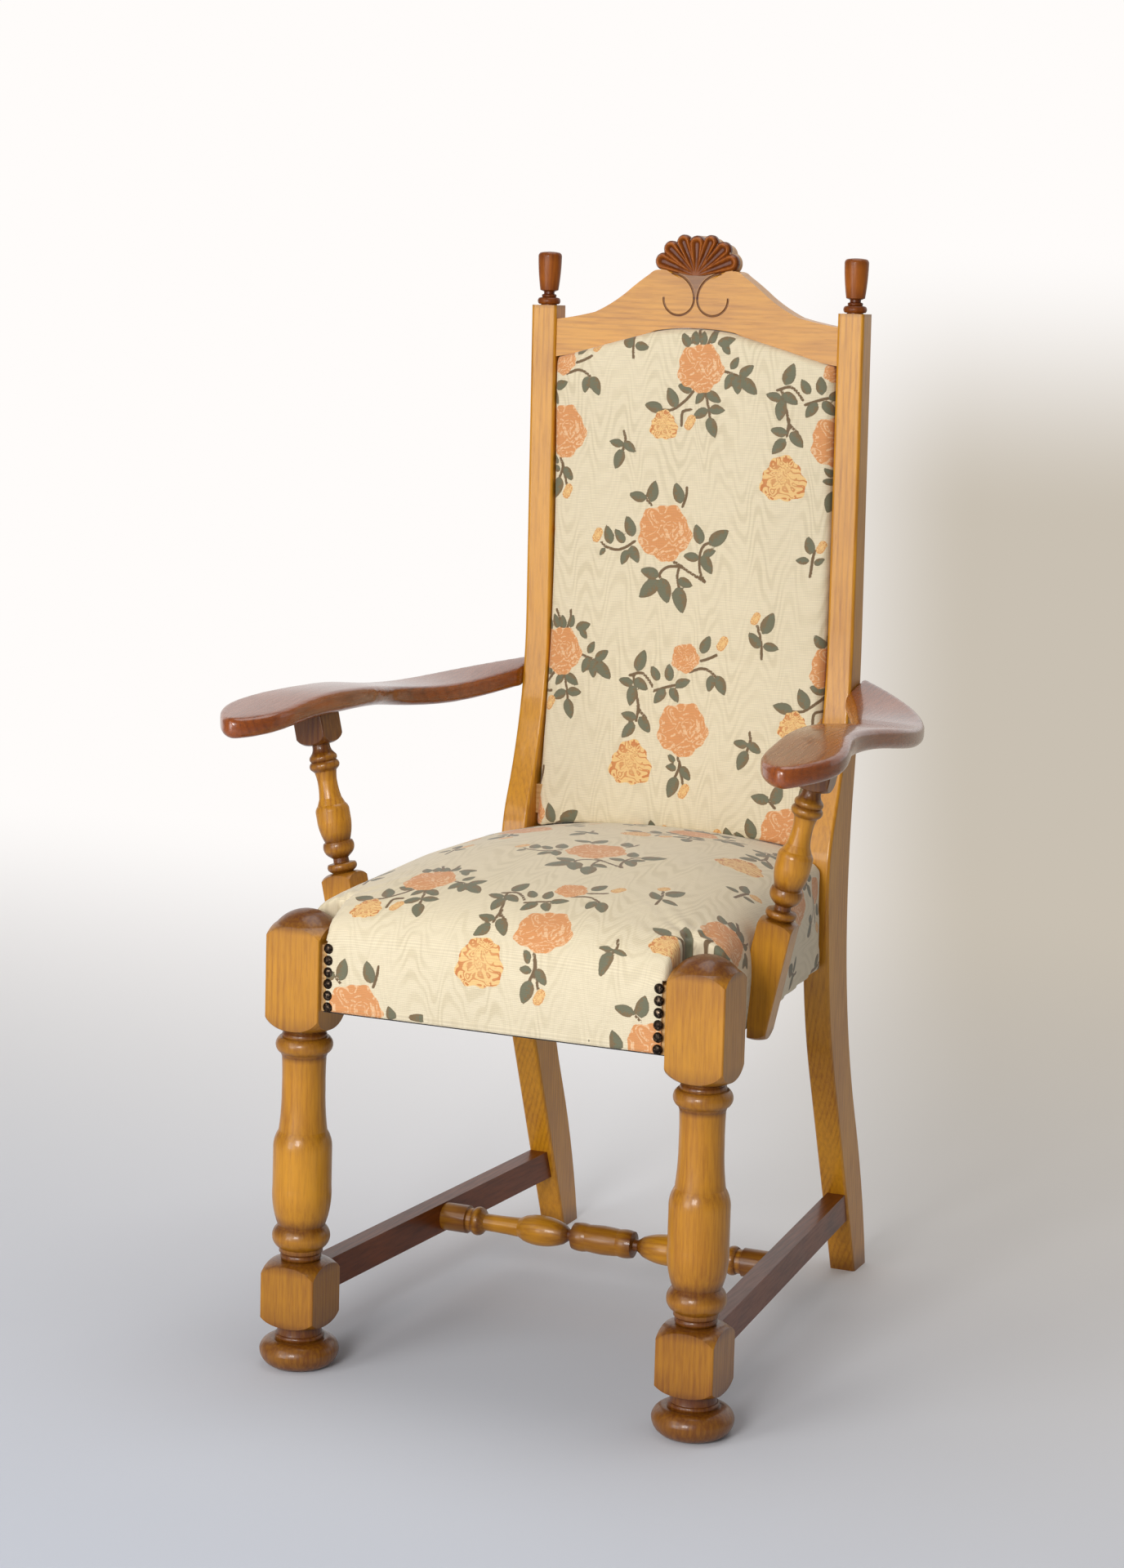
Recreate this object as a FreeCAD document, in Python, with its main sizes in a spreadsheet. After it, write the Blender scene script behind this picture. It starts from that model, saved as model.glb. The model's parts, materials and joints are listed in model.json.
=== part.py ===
import FreeCAD, Part
import math
import os
import Sketcher

# High-backed upholstered armchair with turned front legs and shaped arms.
# Millimetres, +Z up, front towards -Y. The origin is on the floor under the
# middle of the chair. Depths are measured back from the line through the
# axes of the two front legs. Right is +X, and each left piece mirrors it.

SIZES = [
    # Front legs: turned from squares, standing on separate bun feet.
    ("leg_inset", 10),
    ("leg_square", 61),
    ("leg_arris", 2),
    ("lower_block", 68),
    ("turned_length", 241),
    ("upper_block", 125),
    ("foot_shoulder", 13),
    ("ankle_shoulder", 17),
    ("knee_shoulder", 24),
    ("dome_rise", 14.5),
    ("dome_edge", 14),
    ("bun_height", 44),
    ("bun_radius", 41),
    ("dowel_radius", 11),
    ("dowel_length", 28),
    # Back posts: sawn in one piece from foot to top.
    ("post_inset", 6.5),
    ("post_width", 30),
    ("post_arris", 3.5),
    ("post_height", 1092),
    ("foot_front", 570),
    ("foot_back", 612),
    ("knee_front", 444),
    ("knee_level", 311),
    ("knee_ease", 65),
    ("loin_front", 419),
    ("loin_level", 496.5),
    ("loin_ease", 45),
    ("upper_front", 479.5),
    ("upper_level", 637),
    ("upper_ease", 107),
    ("top_front", 473),
    ("top_back", 503),
    ("shoulder_back", 513.9),
    ("shoulder_level", 665.5),
    ("shoulder_ease", 80),
    ("waist_back", 494.8),
    ("waist_level", 518),
    ("waist_ease", 65),
    ("shin_back", 498.5),
    ("shin_level", 312),
    ("shin_ease", 135),
    ("calf_back", 593),
    ("calf_level", 96),
    ("calf_ease", 92),
    # Finials on the back posts.
    ("finial_height", 60),
    ("finial_radius", 13.3),
    ("finial_pin_radius", 5),
    ("finial_pin_length", 22),
    # Crest rail with its scalloped shell.
    ("crest_front", 477),
    ("crest_thickness", 24),
    ("crest_low_drop", 57),
    ("crest_high_drop", 15),
    ("arch_drop", 21),
    ("hump_rise", 42),
    ("shell_rise", 11),
    ("shell_radius", 70),
    ("flute_foot", 0.8),
    ("flute_radius", 6.5),
    ("flute_lift", 3.2),
    ("scroll_across", 20),
    ("scroll_radius", 18),
    ("scroll_turn", 185),
    ("sweep_radius", 28),
    ("sweep_turn", 80),
    ("scroll_cut", 1.2),
    # Seat rails and the joints that hold them.
    ("rail_low", 380),
    ("rail_height", 68),
    ("rail_thickness", 22),
    ("rear_rail_front", 440),
    ("tenon_thickness", 10),
    ("tenon_height", 46),
    ("tenon_length", 20),
    ("rear_tenon_length", 10),
    ("corner_block_leg", 60),
    ("corner_block_height", 45),
    # Rail across the foot of the back.
    ("back_rail_low", 517),
    ("back_rail_height", 33),
    ("back_rail_front", 454),
    ("back_rail_thickness", 19),
    ("back_tenon_height", 22),
    ("back_tenon_length", 16),
    # Stretchers.
    ("stretcher_level", 84),
    ("stretcher_height", 33),
    ("stretcher_width", 21),
    ("stretcher_tenon_height", 20),
    ("stretcher_tenon_length", 16),
    ("cross_back", 290),
    ("cross_plain", 1.9),
    ("cross_radius", 16.5),
    ("cross_pin_radius", 7),
    ("cross_pin_length", 12),
    # Arms, sawn in plan and again in elevation.
    ("arm_reach", 72),
    ("arm_overhang", 61.4),
    ("arm_level", 664),
    ("arm_wave", 25),
    ("arm_thickness", 21),
    ("arm_round", 6),
    ("arm_end_back", 524),
    ("arm_tenon_back", 492),
    ("arm_tenon_level", 673),
    ("arm_tenon_width", 16),
    ("arm_tenon_length", 12),
    # Arm posts, leaning outwards beside the seat.
    ("arm_post_square", 36),
    ("arm_post_back", 130),
    ("arm_post_level", 372),
    ("arm_post_block", 123),
    ("arm_post_turned", 137),
    ("arm_post_head", 48),
    ("arm_post_lean", 12.4),
    ("arm_post_arris", 1.5),
    ("arm_post_heel", 12),
    ("arm_post_shoulder", 9),
    ("arm_post_pin_radius", 8),
    ("arm_post_pin_length", 12),
    # Seat upholstery.
    ("seat_face", 26),
    ("seat_end", 465),
    ("seat_low", 378),
    ("seat_half_front", 228),
    ("seat_half_back", 188),
    ("seat_post_back", 425),
    ("seat_crown", 527),
    ("seat_roll", 32),
    ("cover_thickness", 2.2),
    ("cover_ease", 0.8),
    ("notch_gap", 2.5),
    ("web_width", 50),
    ("web_thickness", 1.6),
    ("web_spacing", 110),
    ("dust_thickness", 1),
    # Back upholstery.
    ("back_low", 490),
    ("back_low_front", 443.5),
    ("back_mid_front", 473.5),
    ("back_top_front", 470.5),
    ("back_mid_level", 750),
    ("back_crown", 8),
    ("back_depth", 27),
    ("board_thickness", 6),
    ("back_roll", 9),
    ("back_cloth", 1.5),
    # Dome-headed nails up the ends of the seat front.
    ("nail_inset", 8.5),
    ("nail_radius", 5.2),
    ("nail_dome", 2.8),
    ("nail_pitch", 12),
    ("nail_level", 385),
    ("nail_count", 6),
    ("nail_shank_radius", 1),
    ("nail_shank", 10),
    # Screws that hold the arm posts to the side rails.
    ("screw_radius", 2.5),
    ("screw_head_radius", 4.5),
    ("screw_length", 42),
    ("screw_head", 3),
    ("screw_count", 2),
    ("screw_level", 395),
    ("screw_pitch", 38),
    # Allowances.
    ("fit", 0.3),
    ("overrun", 4),
]
# Sizes that follow from others: the legs and the posts stand in from the
# sides of the seat, the arm posts and the arms go out from it, the cross
# stretcher ends at the side ones, and the crest rail hangs from the posts.
DERIVED = [
    ("leg_spacing", "=2 * (seat_half_front - leg_inset)"),
    ("post_spacing", "=2 * (seat_half_back - post_inset)"),
    ("nail_spacing", "=leg_spacing - leg_square - 2 * nail_inset"),
    ("arm_post_across", "=seat_half_front - (arm_post_back - leg_square / 2)"
     " * (seat_half_front - seat_half_back) / (seat_post_back - leg_square / 2)"),
    ("arm_spread", "=arm_post_across + (arm_level - arm_post_level)"
     " * tan(arm_post_lean * 1 deg) + arm_overhang - (post_spacing + post_width) / 2"),
    ("cross_half", "=(leg_spacing - (cross_back - leg_square / 2)"
     " * (leg_spacing - post_spacing) / (foot_front - leg_square / 2)"
     " - stretcher_width) / 2 - cross_plain"),
    ("crest_end_low", "=post_height - crest_low_drop"),
    ("crest_end_high", "=post_height - crest_high_drop"),
    ("arch_level", "=post_height - arch_drop"),
    ("hump_level", "=post_height + hump_rise"),
    ("shell_level", "=post_height + shell_rise"),
]

doc = FreeCAD.newDocument("armchair")
sheet = doc.addObject("Spreadsheet::Sheet", "Sizes")
for row, (alias, amount) in enumerate(SIZES + DERIVED, start=1):
    sheet.set("A%d" % row, alias)
    sheet.set("B%d" % row, str(amount))
    sheet.setAlias("B%d" % row, alias)
doc.recompute()

NODES = []
X_AXIS = FreeCAD.Vector(1, 0, 0)
Y_AXIS = FreeCAD.Vector(0, 1, 0)
Z_AXIS = FreeCAD.Vector(0, 0, 1)
LEG_LINE = "(Sizes.arm_reach - Sizes.foot_back) / 2"
LEG_HEIGHT = "(Sizes.lower_block + Sizes.turned_length + Sizes.upper_block)"
LEG_HALF = "(Sizes.leg_square / 2)"
LEG_X = "(Sizes.leg_spacing / 2)"
LEG_INNER = "(Sizes.leg_spacing / 2 - Sizes.leg_square / 2)"
POST_X = "(Sizes.post_spacing / 2)"
POST_INNER = "(Sizes.post_spacing / 2 - Sizes.post_width / 2)"
POST_OUTER = "(Sizes.post_spacing / 2 + Sizes.post_width / 2)"
SKIN = "(Sizes.cover_thickness + Sizes.cover_ease)"
SKIN_AND_RAIL = "(%s + Sizes.rail_thickness)" % SKIN
RAIL_TOP = "(Sizes.rail_low + Sizes.rail_height)"
RAIL_MIDDLE = "(Sizes.rail_low + Sizes.rail_height / 2)"
RAIL_FRONT = "(%s - Sizes.seat_face)" % SKIN
FRONT_RAIL_REAR = "(%s + Sizes.rail_thickness)" % RAIL_FRONT
WEB_TOP = "(%s + 2 * Sizes.web_thickness)" % RAIL_TOP
ARM_LENGTH = "(Sizes.arm_reach + Sizes.arm_end_back)"


def value(expression):
    """The number that an expression of the sheet comes to."""
    return float(sheet.evalExpression(str(expression)))


def bind(thing, **expressions):
    """Tie properties to the sheet; a double underscore stands for a dot."""
    for name, expression in expressions.items():
        thing.setExpression(name.replace("__", "."), str(expression))


def place(thing, across="0", back="0", up="0"):
    """Place a piece by how far it is across, back from the leg line, and up."""
    bind(thing, Placement__Base__x=across, Placement__Base__z=up,
         Placement__Base__y="%s + (%s)" % (LEG_LINE, back))


def node(thing, label):
    thing.Label = label
    NODES.append(thing)
    return thing


def reflection(source, name):
    twin = doc.addObject("Part::Mirroring", name)
    twin.Source = source
    twin.Normal = X_AXIS
    return twin


def mirrored(source, label):
    """The left-hand twin of a right-hand piece."""
    return node(reflection(source, label), label)


def body(name):
    return doc.addObject("PartDesign::Body", name)


def sketch_on(piece, name, role):
    """A sketch on one of a body's own origin planes."""
    sketch = piece.newObject("Sketcher::SketchObject", name)
    planes = piece.Origin.OriginFeatures
    sketch.AttachmentSupport = [(next(p for p in planes if p.Role == role), "")]
    sketch.MapMode = "FlatFace"
    return sketch


def bend_of(point):
    return point[2] if len(point) > 2 else 0


def arc_between(start, end, bend):
    """The arc whose bend is the tangent of a quarter of its angle."""
    chord = end - start
    left = FreeCAD.Vector(-chord.y, chord.x, 0)
    centre = (start + end) / 2 + left * ((1 - bend * bend) / (4 * bend))
    if bend < 0:
        start, end = end, start
    circle = Part.Circle(centre, Z_AXIS, (start - centre).Length)
    return Part.ArcOfCircle(circle, circle.parameter(start), circle.parameter(end))


def outline(sketch, points):
    """Close lines and arcs through points given as expressions.

    A third entry of a point bends the stretch from it to the next point."""
    corners = [FreeCAD.Vector(value(p[0]), value(p[1]), 0) for p in points]
    ends = []
    for index, point in enumerate(points):
        start = corners[index]
        end = corners[(index + 1) % len(points)]
        bend = bend_of(point)
        if bend:
            sketch.addGeometry(arc_between(start, end, bend))
        else:
            sketch.addGeometry(Part.LineSegment(start, end))
        ends.append((2, 1) if bend < 0 else (1, 2))
    for index, point in enumerate(points):
        following = (index + 1) % len(points)
        sketch.addConstraint(Sketcher.Constraint(
            "Coincident", index, ends[index][1], following, ends[following][0]))
        for axis, name in enumerate(("DistanceX", "DistanceY")):
            if point[axis] == "0":
                line = -2 if name == "DistanceX" else -1
                sketch.addConstraint(Sketcher.Constraint(
                    "PointOnObject", index, ends[index][0], line))
            else:
                number = sketch.addConstraint(Sketcher.Constraint(
                    name, -1, 1, index, ends[index][0], corners[index][axis]))
                sketch.setExpression("Constraints[%d]" % number, str(point[axis]))
        bend = bend_of(point)
        if bend:
            after = points[following]
            radius = "hypot(%s - (%s); %s - (%s)) * %.9f" % (
                after[0], point[0], after[1], point[1],
                (1 + bend * bend) / (4 * abs(bend)))
            number = sketch.addConstraint(Sketcher.Constraint(
                "Radius", index, value(radius)))
            sketch.setExpression("Constraints[%d]" % number, radius)


def eased(corners):
    """Lines between corners, each corner eased by an arc tangent to both.

    A corner's third entry is the length that its arc takes of each line;
    a corner without one stays sharp."""
    points = []
    for index, corner in enumerate(corners):
        if len(corner) < 3:
            points.append(corner)
            continue
        around = (corners[index - 1], corners[(index + 1) % len(corners)])
        ends = []
        for other in around:
            step = ["(%s) - (%s)" % (other[axis], corner[axis]) for axis in (0, 1)]
            share = "(%s) / hypot(%s; %s)" % (corner[2], step[0], step[1])
            ends.append(tuple("(%s) + (%s) * %s" % (corner[axis], step[axis], share)
                              for axis in (0, 1)))
        before, here, after = [FreeCAD.Vector(value(point[0]), value(point[1]), 0)
                               for point in (around[0], corner, around[1])]
        into = here - before
        out = after - here
        turn = math.atan2(into.x * out.y - into.y * out.x, into.x * out.x + into.y * out.y)
        points.append(ends[0] + (math.tan(turn / 4),))
        points.append(ends[1])
    return points


def both_halves(points):
    """A symmetric outline from its right half, whose last point is on the axis."""
    full = list(points[:-1])
    for index in range(len(points) - 1, 0, -1):
        point = points[index]
        across = point[0] if point[0] == "0" else "-(%s)" % point[0]
        full.append((across, point[1], bend_of(points[index - 1])))
    if points[0][0] != "0":
        full.append(("-(%s)" % points[0][0], points[0][1]))
    return full


def turning(base, length, radius, shares):
    """Outline points of a turned stretch, from its height and radius shares."""
    return [("%s * %.4f" % (radius, row[1]), "%s + %s * %.4f" % (base, length, row[0]))
            + tuple(row[2:]) for row in shares]


def crown_bend(run, rise):
    """The bend of an arc over a run that ends level, its rise higher."""
    return math.tan(math.atan2(value(rise), value(run)) / 2)


def pad(piece, sketch, length, middle=False):
    solid = piece.newObject("PartDesign::Pad", sketch.Name + "_pad")
    solid.Profile = sketch
    solid.Midplane = middle
    bind(solid, Length=length)
    return solid


def revolve(piece, sketch, kind="Revolution", axis="V_Axis"):
    solid = piece.newObject("PartDesign::" + kind, sketch.Name + "_turned")
    solid.Profile = sketch
    solid.ReferenceAxis = (sketch, [axis])
    solid.Angle = 360
    return solid


def chosen_edges(shape, keep):
    """Names of the edges that pass a test of their direction and middle."""
    names = []
    for number, edge in enumerate(shape.Edges, start=1):
        low, high = edge.ParameterRange
        middle = (low + high) / 2
        if keep(edge, edge.tangentAt(middle), edge.valueAt(middle)):
            names.append("Edge%d" % number)
    return names


def rounded(piece, feature, names, radius):
    fillet = piece.newObject("PartDesign::Fillet", feature.Name + "_rounded")
    fillet.Base = (feature, names)
    bind(fillet, Radius=radius)
    return fillet


def block(name, low, high):
    """A box between two corners, each given as (across, back, up)."""
    box = doc.addObject("Part::Box", name)
    spans = ["(%s) - (%s)" % (far, near) for near, far in zip(low, high)]
    bind(box, Length=spans[0], Width=spans[1], Height=spans[2])
    place(box, *low)
    return box


def rod(name, radius, length, foot, axis):
    """A cylinder from its foot (across, back, up) along an axis."""
    solid = doc.addObject("Part::Cylinder", name)
    bind(solid, Radius=radius, Height=length)
    turn = FreeCAD.Rotation(Z_AXIS, axis)
    solid.Placement = FreeCAD.Placement(FreeCAD.Vector(), turn)
    place(solid, *foot)
    return solid


def several(kind, name, pieces):
    """Fuse or intersect pieces; one alone stays as it is."""
    if len(pieces) == 1:
        return pieces[0]
    whole = doc.addObject("Part::Multi" + kind, name)
    whole.Shapes = pieces
    return whole


def cut(name, base, tools):
    """A piece with others cut out of it."""
    result = doc.addObject("Part::Cut", name)
    result.Base = base
    result.Tool = several("Fuse", name + "_cuts", tools)
    return result


def loose_box(name, low, high):
    """The slightly larger box that a mortise takes."""
    near = ["(%s) - Sizes.fit" % corner for corner in low]
    far = ["(%s) + Sizes.fit" % corner for corner in high]
    return block(name, near, far)


def left_of(corners):
    """The mirrored corners of a box, still low corner first."""
    low, high = corners
    return (["-(%s)" % high[0]] + list(low[1:]), ["-(%s)" % low[0]] + list(high[1:]))


def flat_prism(name, points, low, high):
    """A prism with a plan outline, between two levels."""
    piece = body(name)
    sketch = sketch_on(piece, name + "_plan", "XY_Plane")
    outline(sketch, points)
    pad(piece, sketch, "(%s) - (%s)" % (high, low))
    place(piece, up=low)
    return piece


def side_prism(name, points, across, width):
    """A prism with a side elevation, centred on a distance across."""
    piece = body(name)
    sketch = sketch_on(piece, name + "_side", "YZ_Plane")
    outline(sketch, points)
    pad(piece, sketch, width, middle=True)
    place(piece, across)
    return piece


# Turned tables. Each row is a height share, a radius share and a bend.

# Front leg, in shares of the turned length and of half the square: a neck
# and bead, a ring, the long vase, a waisted column, then a ring and a bead.
LEG_SHARES = [
    (0.000, 0.623), (0.003, 0.66, 0.35), (0.026, 0.67), (0.035, 0.738),
    (0.051, 0.738), (0.054, 0.76, 0.50), (0.145, 0.836), (0.151, 0.797, 0.11),
    (0.324, 0.993), (0.481, 0.993, 0.16), (0.564, 0.820, -0.035),
    (0.739, 0.734, -0.02), (0.884, 0.748), (0.900, 0.793, 0.54), (0.970, 0.836),
    (0.971, 0.754, 0.30), (0.992, 0.705),
]
CORNER_SHARE = 1.46
KNEE_SHARE = 0.672
HEEL_SHARE = 0.745
BUN_SHARES = [
    (0.000, 0.634, 0.364), (0.405, 1.000, 0.420), (0.659, 0.622),
    (0.665, 0.600, 0.450), (0.775, 0.600), (0.780, 0.573, -0.080), (1.000, 0.553),
]
# Finial: base ring, neck and a tall cup with a low dome inside its rim.
FINIAL_SHARES = [
    (0.000, 0.68), (0.017, 0.68), (0.020, 0.85, 0.45), (0.135, 0.85),
    (0.150, 0.58, 0.45), (0.200, 0.58), (0.210, 0.45), (0.250, 0.45),
    (0.280, 0.77, 0.035),
]
FINIAL_RIM_SHARE = 0.910
FINIAL_DOME_SHARES = (0.80, 0.982)
# Arm post: disc, neck, lower ring, short vase, column, two rings and a neck.
ARM_POST_SHARES = [
    (0.000, 0.60), (0.020, 0.80, 0.40), (0.072, 0.80), (0.080, 0.47),
    (0.112, 0.46), (0.134, 0.667, 0.35), (0.239, 0.86), (0.247, 0.755, 0.08),
    (0.396, 1.000), (0.489, 1.000, 0.16), (0.531, 0.83), (0.583, 0.66, -0.05),
    (0.720, 0.575, -0.04), (0.792, 0.655), (0.805, 0.76, 0.50), (0.868, 0.78),
    (0.872, 0.74, 0.45), (0.922, 0.73), (0.942, 0.61, -0.12), (0.985, 0.52),
]
ARM_POST_NECK_SHARE = 0.52
ARM_POST_HEEL_SHARE = 0.80
# Cross stretcher, from its middle outwards: barrel, neck, vase, long neck,
# ring, disc and plain end, in shares of the half length and of the radius.
CROSS_SHARES = [
    (0.000, 0.958, 0.02), (0.096, 0.890, 0.14), (0.186, 0.860), (0.192, 0.420),
    (0.218, 0.390), (0.250, 0.667, 0.08), (0.372, 1.000, 0.09), (0.495, 0.850),
    (0.532, 0.636, -0.015), (0.750, 0.564), (0.771, 0.850, 0.35), (0.824, 0.850),
    (0.826, 0.790), (0.856, 0.790), (0.862, 0.930),
]


def square_stock(piece, name, side, height, arris):
    """A square length with its four long edges eased."""
    section = sketch_on(piece, name + "_section", "XY_Plane")
    half = "(%s / 2)" % side
    outline(section, [("-" + half, "-" + half), (half, "-" + half),
                      (half, half), ("-" + half, half)])
    stock = pad(piece, section, height)
    doc.recompute()
    upright = chosen_edges(stock.Shape, lambda edge, run, middle: abs(run.z) > 0.9)
    return rounded(piece, stock, upright, arris)


def front_leg():
    """Square stock turned between its blocks and domed on top."""
    piece = body("leg_stock")
    half = LEG_HALF
    square_stock(piece, "leg_square", "Sizes.leg_square", LEG_HEIGHT, "Sizes.leg_arris")
    lathe = sketch_on(piece, "leg_turning", "XZ_Plane")
    corner = "%s * %.3f" % (half, CORNER_SHARE)
    heel = "%s * %.3f" % (half, HEEL_SHARE)
    clear = "(%s + Sizes.overrun)" % corner
    knee = "(Sizes.lower_block + Sizes.turned_length)"
    dome = "%s - Sizes.dome_rise" % LEG_HEIGHT
    outline(lathe, [
        (clear, "-Sizes.overrun"),
        (heel, "-Sizes.overrun"),
        (heel, "0", 0.30),
        (corner, "Sizes.foot_shoulder"),
        (corner, "Sizes.lower_block - Sizes.ankle_shoulder", 0.30),
    ] + turning("Sizes.lower_block", "Sizes.turned_length", half, LEG_SHARES) + [
        ("%s * %.3f" % (half, KNEE_SHARE), knee, 0.36),
        (corner, "%s + Sizes.knee_shoulder" % knee),
        (corner, "%s - Sizes.dome_edge" % dome, 0.12),
        (half, dome, crown_bend(half, "Sizes.dome_rise")),
        ("0", LEG_HEIGHT),
        ("0", "%s + Sizes.overrun" % LEG_HEIGHT),
        (clear, "%s + Sizes.overrun" % LEG_HEIGHT),
    ])
    revolve(piece, lathe, "Groove")
    place(piece, LEG_X, "0", "Sizes.bun_height")
    return piece


def bun_foot():
    piece = body("bun_foot_right")
    profile = sketch_on(piece, "bun_profile", "XZ_Plane")
    top = "Sizes.bun_height"
    outline(profile, [("0", "0")] + turning("0", top, "Sizes.bun_radius", BUN_SHARES) + [
        ("Sizes.dowel_radius", top),
        ("Sizes.dowel_radius", top + " + Sizes.dowel_length"),
        ("0", top + " + Sizes.dowel_length"),
    ])
    revolve(piece, profile)
    place(piece, LEG_X)
    return piece


def back_post():
    """The sawn post: raked foot, upright at the seat, swept back above it."""
    piece = body("post_stock")
    side = sketch_on(piece, "post_side", "YZ_Plane")
    outline(side, eased([
        ("Sizes.foot_front", "0"),
        ("Sizes.foot_back", "0"),
        ("Sizes.calf_back", "Sizes.calf_level", "Sizes.calf_ease"),
        ("Sizes.shin_back", "Sizes.shin_level", "Sizes.shin_ease"),
        ("Sizes.waist_back", "Sizes.waist_level", "Sizes.waist_ease"),
        ("Sizes.shoulder_back", "Sizes.shoulder_level", "Sizes.shoulder_ease"),
        ("Sizes.top_back", "Sizes.post_height"),
        ("Sizes.top_front", "Sizes.post_height"),
        ("Sizes.upper_front", "Sizes.upper_level", "Sizes.upper_ease"),
        ("Sizes.loin_front", "Sizes.loin_level", "Sizes.loin_ease"),
        ("Sizes.knee_front", "Sizes.knee_level", "Sizes.knee_ease"),
    ]))
    stock = pad(piece, side, "Sizes.post_width", middle=True)
    doc.recompute()
    half = value("Sizes.post_width / 2 - Sizes.fit")
    arrises = chosen_edges(stock.Shape, lambda edge, run, middle: (
        abs(middle.x) > half and abs(run.z) > 0.5))
    rounded(piece, stock, arrises, "Sizes.post_arris")
    place(piece, POST_X)
    return piece


def finial():
    piece = body("finial_right")
    profile = sketch_on(piece, "finial_profile", "XZ_Plane")
    pin = "Sizes.finial_pin_radius"
    rim = "Sizes.finial_height * %.3f" % FINIAL_RIM_SHARE
    brow = ("Sizes.finial_radius * %.3f" % FINIAL_DOME_SHARES[0],
            "Sizes.finial_height * %.3f" % FINIAL_DOME_SHARES[1])
    outline(profile, [
        ("0", "-Sizes.finial_pin_length"), (pin, "-Sizes.finial_pin_length"), (pin, "0"),
    ] + turning("0", "Sizes.finial_height", "Sizes.finial_radius", FINIAL_SHARES) + [
        ("Sizes.finial_radius", rim, 0.30),
        brow + (crown_bend(brow[0], "Sizes.finial_height - %s" % brow[1]),),
        ("0", "Sizes.finial_height"),
    ])
    revolve(piece, profile)
    place(piece, POST_X, "(Sizes.top_front + Sizes.top_back) / 2", "Sizes.post_height")
    return piece


# Crest rail. The arch beneath and the ogee above are in shares of the half
# length between the posts and of their rise; the shell's lobes meet at
# shares of its radius, across and up from its centre.
ARCH_SHARES = [(0.00, 1.00, -0.05), (0.28, 0.90, 0.03), (0.62, 0.36, 0.03), (1.00, 0.00)]
OGEE_SHARES = [(1.00, 0.00, -0.03), (0.72, 0.16, -0.06), (0.50, 0.55, 0.03), (0.33, 0.93, 0.25)]
LOBE_SHARES = [(0.60, 0.45, 0.46), (0.56, 0.725, 0.46), (0.345, 0.865, 0.46), (0.12, 0.94, 0.22)]
SHELL_FOOT_SHARE = 0.12


def arch_points(drop):
    """The crest rail's arched lower edge, lowered by an amount."""
    low = "(Sizes.crest_end_low - (%s))" % drop
    rise = "(Sizes.arch_level - Sizes.crest_end_low)"
    return [("%s * %.3f" % (POST_INNER, row[0]) if row[0] else "0",
             "%s + %s * %.3f" % (low, rise, row[1])) + tuple(row[2:])
            for row in ARCH_SHARES]


def above_arch(name, drop):
    """Everything above the crest rail's lower edge, lowered by an amount."""
    piece = body(name)
    view = sketch_on(piece, name + "_view", "XZ_Plane")
    wide = "(%s + Sizes.overrun)" % POST_INNER
    edge = arch_points(drop)
    edge.append((wide, edge[-1][1]))
    edge.append((wide, "Sizes.hump_level"))
    edge.append(("0", "Sizes.hump_level"))
    outline(view, both_halves(edge))
    pad(piece, view, "Sizes.crest_front", middle=True)
    place(piece, "0", "Sizes.crest_front")
    return piece


def crest_rail():
    piece = body("crest_board")
    view = sketch_on(piece, "crest_view", "XZ_Plane")
    rise = "(Sizes.hump_level - Sizes.crest_end_high)"
    points = arch_points("0")
    points += [("%s * %.3f" % (POST_INNER, row[0]),
                "Sizes.crest_end_high + %s * %.3f" % (rise, row[1])) + tuple(row[2:])
               for row in OGEE_SHARES]
    points += [("Sizes.shell_radius * %.3f" % row[0],
                "Sizes.shell_level + Sizes.shell_radius * %.3f" % row[1]) + tuple(row[2:])
               for row in LOBE_SHARES]
    points.append(("0", "Sizes.shell_level + Sizes.shell_radius"))
    outline(view, both_halves(points))
    pad(piece, view, "Sizes.crest_thickness")
    place(piece, "0", "Sizes.crest_front + Sizes.crest_thickness")
    return piece


def fluted_lobes():
    """Tapered cuts that hollow each lobe of the shell, from its foot outwards."""
    valleys = [row[:2] for row in LOBE_SHARES]
    tips = [((a[0] + b[0]) / 2, (a[1] + b[1]) / 2) for a, b in zip(valleys, valleys[1:])]
    tips += [(0, valleys[-1][1])] + [(-across, up) for across, up in tips]
    flutes = []
    for number, (across, up) in enumerate(tips):
        flute = doc.addObject("Part::Cone", "shell_flute_%d" % number)
        bind(flute, Radius1="Sizes.flute_foot", Radius2="Sizes.flute_radius",
             Height="Sizes.shell_radius * %.4f" % math.hypot(across, up - SHELL_FOOT_SHARE))
        turn = FreeCAD.Rotation(Z_AXIS, FreeCAD.Vector(across, 0, up - SHELL_FOOT_SHARE))
        flute.Placement = FreeCAD.Placement(FreeCAD.Vector(), turn)
        place(flute, "0", "Sizes.crest_front - Sizes.flute_lift",
              "Sizes.shell_level + Sizes.shell_radius * %.3f" % SHELL_FOOT_SHARE)
        flutes.append(flute)
    return flutes


def scroll_cut(name, across, radius, begin, turn):
    """A round groove in the crest's face, from a heading on and through a turn."""
    groove = doc.addObject("Part::Torus", name)
    bind(groove, Radius1=radius, Radius2="Sizes.scroll_cut", Angle3=turn)
    face = FreeCAD.Rotation(X_AXIS, 90)
    groove.Placement = FreeCAD.Placement(
        FreeCAD.Vector(), face * FreeCAD.Rotation(Z_AXIS, value(begin)))
    place(groove, across, "Sizes.crest_front", "Sizes.shell_level")
    return groove


def slanted(back, front_across, rear_across, rear_back):
    """Distance across of a line from the leg's rear face to a point behind."""
    return "(%s - ((%s) - %s) * (%s - %s) / (%s - %s))" % (
        front_across, back, LEG_HALF, front_across, rear_across, rear_back, LEG_HALF)


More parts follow.
